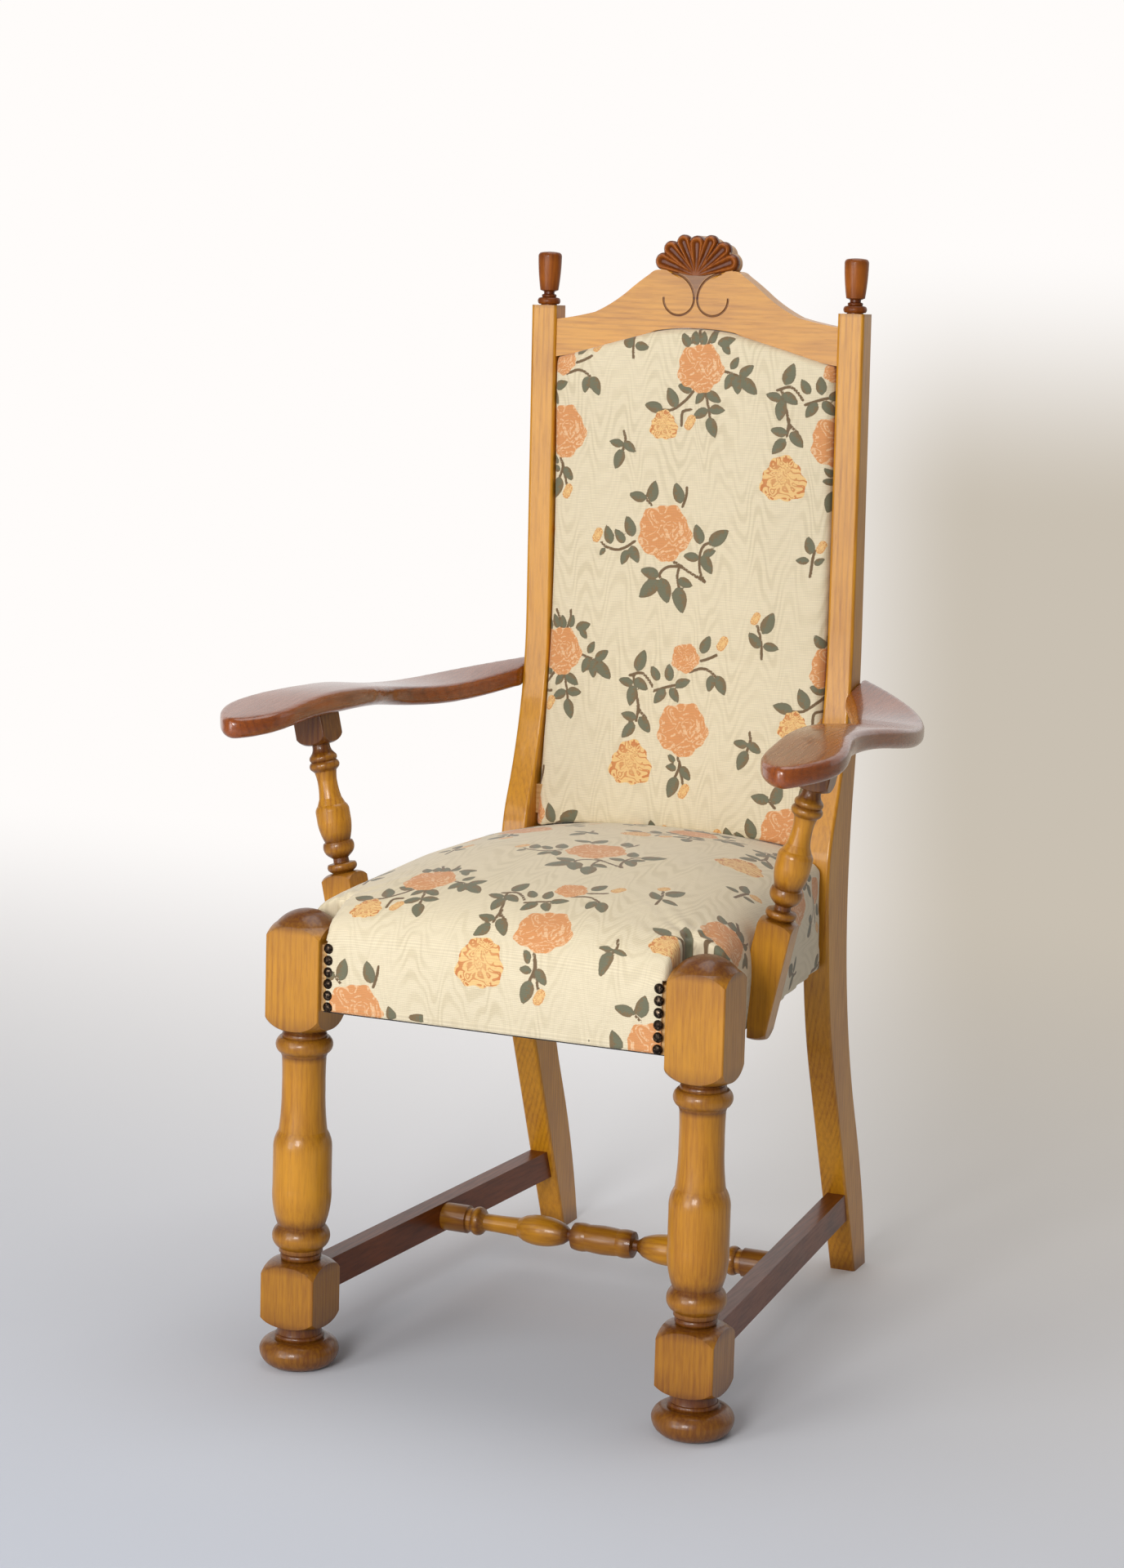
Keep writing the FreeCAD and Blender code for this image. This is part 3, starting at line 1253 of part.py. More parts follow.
seat_wall = flat_prism("seat_wall", [
    ("0", "-Sizes.seat_face"),
    (seat_side("-Sizes.seat_face", "-Sizes.fit"), "-Sizes.seat_face"),
    (seat_side("Sizes.seat_post_back", "-Sizes.fit"), "Sizes.seat_post_back"),
    ("0", "Sizes.seat_post_back"),
], "Sizes.seat_low - Sizes.leg_square", "Sizes.seat_crown")
above_arm_post = block(
    "above_arm_post",
    ("Sizes.arm_post_across", "Sizes.arm_post_back - Sizes.arm_post_square", arm_under),
    ("%s + Sizes.arm_spread" % POST_OUTER, "Sizes.arm_post_back + Sizes.arm_post_square",
     "%s + Sizes.leg_square" % arm_under))
post_trimmed = cut("arm_post_trimmed", arm_post(), [seat_wall, above_arm_post] + screw_holes)
arm_pin = rod("arm_pin", "Sizes.arm_post_pin_radius",
              "Sizes.arm_post_pin_length + Sizes.overrun",
              (pin_across, "Sizes.arm_post_back", "%s - Sizes.overrun" % arm_under), Z_AXIS)
arm_post_right = several("Fuse", "arm_post_right", [post_trimmed, arm_pin])
node(arm_post_right, "arm_post_right")
mirrored(arm_post_right, "arm_post_left")

WEB_ROWS = 3

# Webbing: three straps from front to back under three from side to side.
for number in range(WEB_ROWS):
    step = "Sizes.web_spacing * %d" % (number - WEB_ROWS // 2)
    strap = block("web_long_%d" % (number + 1),
                  ("%s - Sizes.web_width / 2" % step, "%s + Sizes.overrun" % RAIL_FRONT, RAIL_TOP),
                  ("%s + Sizes.web_width / 2" % step,
                   "Sizes.rear_rail_front + Sizes.rail_thickness - Sizes.overrun",
                   "%s + Sizes.web_thickness" % RAIL_TOP))
    node(strap, "web_long_%d" % (number + 1))
for number in range(WEB_ROWS):
    near = "(Sizes.web_spacing * %d)" % (number + 1)
    reach = seat_side("%s + Sizes.web_width" % near, "%s + Sizes.overrun" % SKIN)
    strap = block("web_cross_%d" % (number + 1),
                  ("-" + reach, near, "%s + Sizes.web_thickness" % RAIL_TOP),
                  (reach, "%s + Sizes.web_width" % near, WEB_TOP))
    node(strap, "web_cross_%d" % (number + 1))

# Seat: stuffing, and a cover that wraps the rails and opens underneath.
seat_outer = cut("seat_shape", seat_form("seat_outside", "0", "Sizes.seat_low"),
                 corner_cuts("seat_corner", "Sizes.notch_gap"))
seat_inner = cut("seat_hollow", seat_form("seat_inside", SKIN, "Sizes.seat_low - Sizes.overrun"),
                 corner_cuts("hollow_corner", "Sizes.notch_gap + %s" % SKIN))
rail_room = flat_prism("rail_room", both_halves([
    (seat_side(RAIL_FRONT, SKIN), RAIL_FRONT),
    (seat_side("Sizes.seat_end - %s" % SKIN, SKIN), "Sizes.seat_end - %s" % SKIN),
    ("0", "Sizes.seat_end - %s" % SKIN),
]), "Sizes.seat_low - Sizes.overrun", "%s + Sizes.fit" % WEB_TOP)
far_holes = [reflection(hole, "far_" + hole.Name) for hole in screw_holes]
node(cut("seat_cover", seat_outer,
         [seat_inner, rail_room] + nail_holes + screw_holes + far_holes), "seat_cover")
seat_floor = block("seat_floor", ("-Sizes.seat_half_front", "-Sizes.arm_reach", "0"),
                   ("Sizes.seat_half_front", "Sizes.foot_back", "%s + 2 * Sizes.fit" % WEB_TOP))
node(cut("seat_pad", seat_form("seat_stuffing", "(%s + Sizes.fit)" % SKIN, "Sizes.seat_low"),
         corner_cuts("stuffing_corner", "Sizes.notch_gap + %s + Sizes.fit" % SKIN)
         + [seat_floor]),
     "seat_pad")
dust_side = seat_side("%s + Sizes.notch_gap" % LEG_HALF, "%s + Sizes.fit" % SKIN)
dust_back = "Sizes.seat_post_back - Sizes.notch_gap"
dust_end = "Sizes.rear_rail_front + Sizes.rail_thickness"
dust = flat_prism("dust_cover", both_halves([
    ("%s - Sizes.notch_gap" % LEG_INNER, RAIL_FRONT),
    ("%s - Sizes.notch_gap" % LEG_INNER, "%s + Sizes.notch_gap" % LEG_HALF),
    (dust_side, "%s + Sizes.notch_gap" % LEG_HALF),
    (seat_side(dust_back, "%s + Sizes.fit" % SKIN), dust_back),
    ("%s - Sizes.notch_gap" % POST_INNER, dust_back),
    ("%s - Sizes.notch_gap" % POST_INNER, dust_end),
    ("0", dust_end),
]), "Sizes.rail_low - Sizes.dust_thickness", "Sizes.rail_low")
node(dust, "dust_cover")

# Back: a board between the posts, stuffing on it, cloth on both faces.
board_near = "(Sizes.back_depth - Sizes.board_thickness)"
rail_high = "Sizes.back_rail_low + Sizes.back_rail_height"
board_top = above_arch("board_top", "Sizes.fit")
node(cut("back_panel", back_form("back_board", board_near, "Sizes.back_depth", "0", "0"),
         [board_top, below_level("board_foot", rail_high)]), "back_panel")
outer_top = above_arch("cover_top", "3 * Sizes.fit")
inner_top = above_arch("hollow_top", "3 * Sizes.fit + %s" % SKIN)
pad_top = above_arch("pad_top", "4 * Sizes.fit + %s" % SKIN)
cover_depth = "(%s - Sizes.fit)" % board_near
back_outer = cut("back_shape", back_form("back_outside", "0", cover_depth,
                                         "3 * Sizes.fit"),
                 [outer_top, under_back("seat_arch_outer", "Sizes.fit")])
back_inner = cut("back_hollow", back_form(
    "back_inside", SKIN, "Sizes.back_depth", "3 * Sizes.fit + %s" % SKIN),
    [inner_top, under_back("seat_arch_hollow", "Sizes.fit + %s" % SKIN)])
lower_rail_room = loose_box(
    "lower_rail_room", ("-" + POST_INNER, "Sizes.back_rail_front", "Sizes.back_rail_low"),
    (POST_INNER, "Sizes.back_rail_front + Sizes.back_rail_thickness + Sizes.overrun",
     rail_high))
node(cut("back_cover", back_outer, [back_inner, lower_rail_room]), "back_cover")
stuffing = back_form("back_stuffing", "(%s + Sizes.fit)" % SKIN, cover_depth,
                     "4 * Sizes.fit + %s" % SKIN)
pad_foot = below_level(
    "pad_foot", "max(Sizes.back_rail_low - Sizes.fit; Sizes.seat_low"
    " + (Sizes.seat_crown - Sizes.seat_low) * %.3f + 2 * Sizes.fit + %s)"
    % (SEAT_REAR_SHARES[0], SKIN))
node(cut("back_pad", stuffing, [pad_top, pad_foot, lower_rail_room]), "back_pad")
cloth_near = "(Sizes.back_depth + Sizes.fit)"
node(cut("outside_back_cover", back_form(
    "outside_cloth", cloth_near, "(%s + Sizes.back_cloth)" % cloth_near,
    "3 * Sizes.fit", "0"), [above_arch("cloth_top", "3 * Sizes.fit")]),
    "outside_back_cover")

for nail in nails:
    node(nail, nail.Name)
for screw in screws:
    node(screw, screw.Name)
    mirrored(screw, screw.Name.replace("right", "left"))

doc.recompute()

faults = []
for thing in doc.Objects:
    if "Invalid" in thing.State or "Error" in thing.State:
        faults.append("%s: %s" % (thing.Name, thing.State))
for thing in NODES:
    if thing.Shape.isNull() or not thing.Shape.isValid() or not thing.Shape.Solids:
        faults.append("%s has no valid solid" % thing.Label)
if faults:
    raise RuntimeError("; ".join(faults))

os.makedirs("parts", exist_ok=True)
for thing in NODES:
    thing.Shape.exportStep("parts/%s.step" % thing.Label)
    print("%-28s solids %d volume %.0f" % (thing.Label, len(thing.Shape.Solids),
                                           thing.Shape.Volume))
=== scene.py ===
"""The high-back armchair's finishes, carving and upholstery, and its plain studio."""

import json
import math

import bmesh
import bpy
import numpy as np
from bpy.props import FloatProperty, FloatVectorProperty, PointerProperty
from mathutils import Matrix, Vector

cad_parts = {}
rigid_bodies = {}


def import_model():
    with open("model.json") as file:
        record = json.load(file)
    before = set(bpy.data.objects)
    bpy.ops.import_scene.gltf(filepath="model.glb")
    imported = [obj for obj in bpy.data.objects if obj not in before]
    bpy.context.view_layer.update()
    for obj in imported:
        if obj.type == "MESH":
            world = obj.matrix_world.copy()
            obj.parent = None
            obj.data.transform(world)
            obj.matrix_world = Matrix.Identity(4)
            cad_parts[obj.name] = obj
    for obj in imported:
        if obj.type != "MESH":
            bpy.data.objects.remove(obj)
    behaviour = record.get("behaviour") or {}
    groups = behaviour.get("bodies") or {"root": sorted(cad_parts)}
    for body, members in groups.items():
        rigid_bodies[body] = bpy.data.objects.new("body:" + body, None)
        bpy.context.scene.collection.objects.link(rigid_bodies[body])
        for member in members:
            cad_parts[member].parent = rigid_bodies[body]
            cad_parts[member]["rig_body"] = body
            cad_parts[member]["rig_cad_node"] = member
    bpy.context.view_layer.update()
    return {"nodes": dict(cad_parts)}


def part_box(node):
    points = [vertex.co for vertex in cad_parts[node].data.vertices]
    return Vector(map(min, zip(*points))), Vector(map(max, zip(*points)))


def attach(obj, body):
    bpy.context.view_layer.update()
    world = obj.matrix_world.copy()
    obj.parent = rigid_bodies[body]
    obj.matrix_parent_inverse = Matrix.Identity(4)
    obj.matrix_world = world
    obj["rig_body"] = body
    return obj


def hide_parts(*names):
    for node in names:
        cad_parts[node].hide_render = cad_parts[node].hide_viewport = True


bl_info = {
    "name": "High-Back Armchair",
    "version": (1, 0, 0),
    "blender": (4, 5, 0),
    "location": "View3D > Sidebar > Armchair",
    "description": "Finishes, carves and upholsters the armchair on its packed frame",
    "category": "Add Mesh",
}

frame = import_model()
NODES = frame["nodes"]


def linear(code):
    """A colour written as six hex digits, in linear light."""
    parts = [int(code[i : i + 2], 16) / 255 for i in (0, 2, 4)]
    return tuple(p / 12.92 if p <= 0.04045 else ((p + 0.055) / 1.055) ** 2.4 for p in parts)


def colour_property(name, description, code):
    return FloatVectorProperty(
        name=name, description=description, subtype="COLOR", size=3, min=0, max=1, default=linear(code)
    )


def length_property(name, description, metres):
    return FloatProperty(name=name, description=description, unit="LENGTH", min=0, default=metres)


class TimberLook(bpy.types.PropertyGroup):
    """Colours and figure of the lacquered wood."""

    honey: colour_property("Honey", "Palest tone of the golden wood", "D0901F")
    honey_grain: colour_property("Honey grain", "Grain lines in the golden wood", "8E5010")
    # Umber is the brown of the glazing and of the shade painted into turnings, grooves, hollows and ends.
    umber: colour_property("Umber", "Brown glaze rubbed into turnings and ends", "4C1B06")
    walnut: colour_property("Walnut", "Palest tone of the dark-stained arms and rails", "7C3C0E")
    walnut_grain: colour_property("Walnut grain", "Grain lines of the dark-stained wood", "3C1604")
    arm: colour_property("Arm", "Palest tone of the arms", "93480F")
    arm_grain: colour_property("Arm grain", "Grain lines of the arms", "481C05")
    amber: colour_property("Amber", "Palest tone of the finials", "B0621A")
    amber_grain: colour_property("Amber grain", "Grain lines of the finials", "6E3310")
    bare: colour_property("Bare wood", "Unfinished wood under the seat", "C9A36C")
    ring_pitch: length_property("Ring pitch", "Distance between growth lines", 0.0052)
    gloss: FloatProperty(
        name="Lacquer", description="Weight of the clear lacquer", subtype="FACTOR", min=0, max=1, default=0.22
    )
    polish: FloatProperty(
        name="Arm polish", description="Weight of the arms' lacquer", subtype="FACTOR", min=0, max=1, default=0.5
    )


class TapestryLook(bpy.types.PropertyGroup):
    """Colours and repeat of the rose tapestry."""

    ground: colour_property("Ground", "Cream ground of the cloth", "E7D9B9")
    watermark: colour_property("Watermark", "Darker lines of the moire", "CFBF9A")
    rose: colour_property("Rose", "Salmon of the large roses", "DC9559")
    petal: colour_property("Petal", "Pale strokes in the roses", "EFC79A")
    golden: colour_property("Golden", "Yellow of the small roses and buds", "EFC581")
    ember: colour_property("Ember", "Orange strokes in the yellow roses", "CC7A3C")
    leaf: colour_property("Leaf", "Grey-green of the leaves", "6A6C54")
    sear: colour_property("Sear", "Brown side of the leaves", "80623C")
    stem: colour_property("Stem", "Brown of the stems", "6E5638")
    repeat_across: length_property("Repeat across", "Width of the pattern's repeat", 0.325)
    repeat_along: length_property("Repeat along", "Height of the pattern's repeat", 0.650)
    rib: length_property("Rib", "Distance between the cloth's ribs", 0.0019)


class Upholstery(bpy.types.PropertyGroup):
    """How full the seat and the back are stuffed."""

    mesh_step: length_property("Mesh step", "Size of the cloth's mesh before smoothing", 0.0055)
    seat_rise: length_property("Seat rise", "Most that the stuffing pushes the seat cover out", 0.007)
    back_rise: length_property("Back rise", "Most that the stuffing pushes the back cover out", 0.004)
    skirt: length_property("Skirt", "Thickness of the cover over the rails", 0.0022)
    tuck: length_property("Tuck", "How far the back's cover goes down behind the seat", 0.001)


class ShapedArms(bpy.types.PropertyGroup):
    """The section of the two arms."""

    thickness: length_property("Thickness", "Thickness of an arm", 0.0222)
    upper_edge: length_property("Upper edge", "Radius of an arm's upper edges", 0.0055)
    lower_edge: length_property("Lower edge", "Radius of an arm's lower edges", 0.0095)
    crown: length_property("Crown", "How far the top falls from its middle to its edges", 0.0012)
    pad: length_property("Pad", "Extra thickness over the front post", 0.0024)
    mesh_step: length_property("Mesh step", "Size of the arms' mesh", 0.0021)


class CrestCarving(bpy.types.PropertyGroup):
    """Depth of the shell that is carved on the crest."""

    relief: length_property("Relief", "How far the shell's ribs stand out", 0.0048)
    hollow: FloatProperty(
        name="Hollow", description="Share of the relief scooped out of each lobe", min=0, max=1, default=0.85
    )


class StudioLook(bpy.types.PropertyGroup):
    """Backdrop, lamps and camera."""

    # The near floor's darker tone is painted shade.
    near_floor: colour_property("Near floor", "Floor towards the camera", "BEC4D0")
    far_floor: colour_property("Far floor", "Floor behind the chair", "F4F3F4")
    wall: colour_property("Wall", "Backdrop", "FFFCFA")
    shadow: colour_property("Wall shadow", "Soft shadow on the right of the backdrop", "C9C0B2")
    key: FloatProperty(name="Key lamp", description="Power of the lamp in front", unit="POWER", default=80)
    window: FloatProperty(
        name="Window lamp", description="Power of the wide lamp on the upper left", unit="POWER", default=24
    )
    board: FloatProperty(
        name="Low lamp", description="Power of the low lamp that the posts mirror", unit="POWER", default=30
    )
    top: FloatProperty(name="Top lamp", description="Power of the lamp overhead", unit="POWER", default=30)
    ambient: FloatProperty(name="Ambient", description="Brightness of the surroundings", min=0, default=0.27)
    lens: FloatProperty(name="Lens", description="Focal length in millimetres", default=72.566)


# Materials.


class Signal:
    """A value on its way through a material. Sums written with it add Math nodes."""

    def __init__(self, finish, socket):
        self.finish, self.socket = finish, socket

    def math(self, operation, *others):
        return self.finish.node("Math", {"operation": operation}, dict(enumerate((self, *others))))

    def __add__(self, other):
        return self.math("ADD", other)

    def __sub__(self, other):
        return self.math("SUBTRACT", other)

    def __rsub__(self, other):
        return self.finish.node("Math", {"operation": "SUBTRACT"}, {0: other, 1: self})

    def __mul__(self, other):
        return self.math("MULTIPLY", other)

    def __truediv__(self, other):
        return self.math("DIVIDE", other)

    def __pow__(self, other):
        return self.math("POWER", other)

    def __abs__(self):
        return self.math("ABSOLUTE")

    __radd__, __rmul__ = __add__, __mul__

    def wave(self):
        """A sine from 0 to 1."""
        return self.math("SINE") * 0.5 + 0.5

    def hypot(self, other):
        return (self * self + other * other) ** 0.5

    def between(self, low, high):
        """0 below the first value and 1 above the second, or turned round if they are."""
        return self.finish.node(
            "MapRange",
            {"interpolation_type": "SMOOTHSTEP"},
            {"Value": self, "From Min": low, "From Max": high},
        )

    def parts(self):
        return [self.finish.node("SeparateXYZ", {}, {0: self}, output) for output in range(3)]

    def dot(self, direction):
        return self.finish.node("VectorMath", {"operation": "DOT_PRODUCT"}, {0: self, 1: direction}, "Value")


class Finish:
    """A material, and the one way in which its nodes are made."""

    def __init__(self, name):
        self.material = bpy.data.materials.new(name)
        self.material.use_nodes = True
        self.tree = self.material.node_tree
        self.tree.nodes.clear()

    def node(self, kind, settings=(), sockets=(), output=0):
        made = self.tree.nodes.new("ShaderNode" + kind)
        for key, value in dict(settings).items():
            if key == "stops":
                ramp = made.color_ramp
                ramp.elements.remove(ramp.elements[-1])
                for number, (place, tone) in enumerate(value):
                    stop = ramp.elements.new(place) if number else ramp.elements[0]
                    stop.position, stop.color = place, (tone, tone, tone, 1)
            else:
                setattr(made, key, value)
        for key, value in dict(sockets).items():
            socket = made.inputs[key]
            if isinstance(value, Signal):
                self.tree.links.new(value.socket, socket)
            elif socket.type == "RGBA":
                socket.default_value = (*value[:3], 1)
            else:
                socket.default_value = value
        return Signal(self, made.outputs[output])

    def place(self):
        return self.node("TexCoord", output="Object")

    def laid(self, scale, location=(0, 0, 0), vector=None):
        return self.node(
            "Mapping", {}, {"Vector": vector or self.place(), "Location": location, "Scale": scale}
        )

    def noise(self, vector, scale, detail=2.0, roughness=0.5, distortion=0.0):
        return self.node(
            "TexNoise",
            {},
            {"Vector": vector, "Scale": scale, "Detail": detail, "Roughness": roughness, "Distortion": distortion},
        )

    def mix(self, share, first, second):
        return self.node("Mix", {"data_type": "RGBA"}, {0: share, 6: first, 7: second}, 2)

    def table(self, value, stops):
        """A value looked up in a table of (place, height)."""
        return self.node("ValToRGB", {"stops": stops}, {0: value})

    def bump(self, height, depth, strength=1.0):
        return self.node("Bump", {}, {"Strength": strength, "Distance": depth, "Height": height})

    def surface(self, **sockets):
        named = {key.replace("_", " ").title().replace("Ior", "IOR"): value for key, value in sockets.items()}
        return self.end(self.node("BsdfPrincipled", {}, named))

    def end(self, shader):
        output = self.tree.nodes.new("ShaderNodeOutputMaterial")
        self.tree.links.new(shader.socket, output.inputs["Surface"])
        return self.material


def timber(name, along, pale, grain, glaze_and_shade, seed, lacquer):
    """Wood, its grain along one axis, with brown glazing and painted shade where the mask asks for it."""
    look = bpy.context.scene.chair_timber
    roughness, shine, coat = lacquer
    finish = Finish(name)
    axis = "XYZ".index(along)
    scale = [1.0, 1.0, 1.0]
    scale[axis] = 0.07
    across = [0.82, 0.57, 0.05]
    across[axis], across[axis - 1] = 0.05, 0.82
    place = finish.place()
    laid = finish.laid(scale, (seed, seed * 0.7, seed * 0.4), place)
    drift = finish.noise(laid, 11, 2, 0.45)
    wander = finish.noise(laid, 46, 2, 0.5)
    rings = (laid.dot(across) * (2 * math.pi / look.ring_pitch) + drift * 34 + wander * 4).wave() ** 2.6
    fibre = finish.noise(laid, 320, 3, 0.6)
    pores = finish.noise(laid, 900, 1, 0.5).between(0.6, 0.74)
    tone = finish.noise(finish.laid((1, 1, 1), (seed, 0, seed), place), 7, 2)
    figure = finish.noise(finish.laid(scale, (seed, 3, seed), place), 23, 2).between(0.36, 0.64)
    shade = rings * figure * 0.26 + fibre.between(0.36, 0.74) * 0.3 + pores * 0.14 + tone.between(0.28, 0.75) * 0.34
    colour = finish.mix(shade, pale, grain)
    # The mask darkens the wood towards umber: brown glazing, and painted shade in recesses.
    if glaze_and_shade is not None:
        mask = glaze_and_shade(finish, place)
        mask = mask * (0.86 + fibre.between(0.3, 0.7) * 0.14)
        colour = finish.mix(mask, colour, look.umber)
    relief = rings * 0.35 + fibre * 0.5 - pores * 0.5
    return finish.surface(
        base_color=colour,
        roughness=fibre * 0.12 + roughness,
        specular_ior_level=shine,
        coat_weight=coat,
        coat_roughness=0.07,
        normal=finish.bump(relief, 0.0003, 0.25 if coat else 0.8),
    )


def lookup(value, reach, stops):
    """Strengths of the glazing and the painted shade against a distance in metres."""
    return value.finish.table(value / reach, [(place / reach, height) for place, height in stops])


# Front legs by height: partly brown glazing, partly painted shade in the turned rings, the waist and the blocks'
# ends.
LEG_GLAZE_AND_SHADE = [
    (0.044, 0.9), (0.052, 0.6), (0.075, 0.42), (0.100, 0.46), (0.110, 0.85), (0.119, 0.95), (0.126, 0.6),
    (0.137, 0.4), (0.146, 0.85), (0.150, 0.8), (0.160, 0.3), (0.185, 0.1), (0.228, 0.1), (0.244, 0.34),
    (0.256, 0.16), (0.300, 0.05), (0.321, 0.2), (0.326, 0.8), (0.334, 0.36), (0.345, 0.6), (0.350, 0.95),
    (0.358, 0.5), (0.372, 0.2), (0.420, 0.1), (0.456, 0.2), (0.463, 0.75), (0.470, 0.9), (0.480, 0.92),
]  # fmt: skip
# Bun feet by height: dark glazing, with painted shade deepest at their bottom and top.
BUN_GLAZE_AND_SHADE = [(0.000, 0.95), (0.006, 0.86), (0.016, 0.76), (0.026, 0.84), (0.034, 0.95), (0.046, 0.97)]
# Arm posts along their lean: brown glazing, with painted shade in the turned grooves.
ARM_POST_GLAZE_AND_SHADE = [
    (0.000, 0.75), (0.015, 0.2), (0.100, 0.12), (0.118, 0.4), (0.125, 0.8), (0.131, 0.5), (0.135, 0.95),
    (0.140, 0.9), (0.148, 0.4), (0.155, 0.75), (0.158, 0.8), (0.166, 0.3), (0.178, 0.06), (0.193, 0.22),
    (0.202, 0.12), (0.220, 0.06), (0.230, 0.3), (0.233, 0.8), (0.238, 0.4), (0.2425, 0.85), (0.247, 0.45),
    (0.252, 0.9), (0.260, 0.9), (0.308, 0.85),
]  # fmt: skip
# Cross stretcher out from its middle: brown glazing, with painted shade in the turned rings.
CROSS_GLAZE_AND_SHADE = [
    (0.000, 0.5), (0.024, 0.5), (0.034, 0.85), (0.041, 0.95), (0.047, 0.7), (0.056, 0.3), (0.074, 0.08),
    (0.094, 0.22), (0.101, 0.14), (0.128, 0.06), (0.141, 0.6), (0.146, 0.85), (0.150, 0.45), (0.155, 0.85),
    (0.158, 0.5), (0.162, 0.85), (0.188, 0.6),
]  # fmt: skip
# Finials above their foot: brown glazing, with painted shade in their hollows.
FINIAL_GLAZE_AND_SHADE = [(0.000, 0.5), (0.008, 0.75), (0.014, 0.95), (0.018, 0.5), (0.030, 0.2), (0.048, 0.25), (0.060, 0.7)]
FINIAL_LEVEL = 1.092
SHELL_LEVEL, SCROLL_ACROSS, SCROLL_RADIUS, SWEEP_ACROSS, SWEEP_RADIUS = 1.103, 0.020, 0.018, 0.030, 0.028


def leg_glaze_and_shade(finish, place):
    return lookup(place.parts()[2], 0.5, LEG_GLAZE_AND_SHADE)


def bun_glaze_and_shade(finish, place):
    return lookup(place.parts()[2], 0.1, BUN_GLAZE_AND_SHADE)


def arm_post_glaze_and_shade(finish, place):
    x, _, z = place.parts()
    return lookup(abs(x) * 0.2147 + z * 0.9767 - 0.4101, 0.32, ARM_POST_GLAZE_AND_SHADE)


def cross_glaze_and_shade(finish, place):
    return lookup(abs(place.parts()[0]), 0.2, CROSS_GLAZE_AND_SHADE)


def finial_glaze_and_shade(finish, place):
    return lookup(place.parts()[2] - FINIAL_LEVEL, 0.1, FINIAL_GLAZE_AND_SHADE)


def post_painted_shade(finish, place):
    """Painted shade, darker where the post meets the floor and under its finial."""
    z = place.parts()[2]
    return z.between(0.03, 0.0) * 0.6 + z.between(FINIAL_LEVEL - 0.005, FINIAL_LEVEL) * 0.3


def crest_shade_and_glaze(finish, place):
    """Painted shade in the two scrolls and sweeps cut in the crest's face and in the hollow between them, and the
    shell's darker glazing.
    """
    x, y, z = place.parts()
    wide, rise = abs(x), z - SHELL_LEVEL
    face = (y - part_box("crest_rail")[0].y).between(0.006, 0.004)
    scroll = abs((wide - SCROLL_ACROSS).hypot(rise) - SCROLL_RADIUS).between(0.0017, 0.0008)
    scroll = scroll * rise.between(0.003, 0.001)
    reach = (wide - SWEEP_ACROSS).hypot(rise)
    above = rise.between(-0.001, 0.001)
    sweep = abs(reach - SWEEP_RADIUS).between(0.0017, 0.0008) * above * wide.between(0.030, 0.029)
    throat = reach.between(SWEEP_RADIUS, SWEEP_RADIUS + 0.003) * wide.between(0.030, 0.026) * above
    shell = (rise - wide * 0.18).between(0.0265, 0.0295) * wide.between(0.056, 0.053)
    return (scroll * 0.8 + sweep * 0.8 + throat * 0.7 + shell * 0.7).math("MINIMUM", 1.0) * face


def flute_painted_shade(finish, place):
    """Painted shade, darker towards the bottom of the shell's flutes."""
    depth = place.parts()[1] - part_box("crest_rail")[0].y
    return depth.between(-bpy.context.scene.chair_carving.relief * 0.8, -0.0002) * 0.85


# Each wood: the axis of its grain, its tone, its mask of glazing and painted shade, its seed and the nodes that it
# dresses.
TIMBERS = {
    "honey_leg": ("Z", "honey", leg_glaze_and_shade, 0.3, ["front_leg_left", "front_leg_right"]),
    "honey_bun": ("Z", "honey", bun_glaze_and_shade, 0.9, ["bun_foot_left", "bun_foot_right"]),
    "honey_back_post": ("Z", "honey", post_painted_shade, 1.7, ["back_post_left", "back_post_right"]),
    "amber_finial": ("Z", "amber", finial_glaze_and_shade, 2.2, ["finial_left", "finial_right"]),
    "amber_shell": ("Z", "amber", flute_painted_shade, 2.6, []),
    "honey_crest": ("X", "honey", crest_shade_and_glaze, 3.1, ["crest_rail"]),
    "walnut_arm": ("Y", "arm", None, 4.4, ["arm_left", "arm_right"]),
    "honey_arm_post": ("Z", "honey", arm_post_glaze_and_shade, 5.3, ["arm_post_left", "arm_post_right"]),
    "walnut_side_stretcher": ("Y", "walnut", None, 6.1, ["side_stretcher_left", "side_stretcher_right"]),
    "honey_cross_stretcher": ("X", "honey", cross_glaze_and_shade, 7.2, ["cross_stretcher"]),
    "bare_rail_across": ("X", "bare", None, 8.5, ["front_rail", "rear_rail", "back_lower_rail"]),
    "bare_rail_along": ("Y", "bare", None, 9.5, ["side_rail_left", "side_rail_right"]),
    "bare_board": (
        "Z", "bare", None, 9.9,
        ["back_panel", "corner_block_front_left", "corner_block_front_right",
         "corner_block_rear_left", "corner_block_rear_right"],
    ),
}  # fmt: skip


def stained(name):
    """A wood from the table, made when it is first asked for."""
    if name not in bpy.data.materials:
        look = bpy.context.scene.chair_timber
        # Each lacquer: the roughness, the level of its reflections and the weight of its clear coat.
        thin = (0.3, 0.22, look.gloss * 0.4)
        tones = {
            "honey": (look.honey, look.honey_grain, (0.3, 0.38, look.gloss)),
            "walnut": (look.walnut, look.walnut_grain, thin),
            "arm": (look.arm, look.arm_grain, (0.22, 0.5, look.polish)),
            "amber": (look.amber, look.amber_grain, thin),
            "bare": (look.bare, look.honey_grain, (0.6, 0.22, 0.0)),
        }
        along, tone, glaze_and_shade, seed, _ = TIMBERS[name]
        pale, grain, lacquer = tones[tone]
        timber(name, along, pale, grain, glaze_and_shade, seed, lacquer)
    return bpy.data.materials[name]


def dress(node, material):
    NODES[node].data.materials.clear()
    NODES[node].data.materials.append(material)


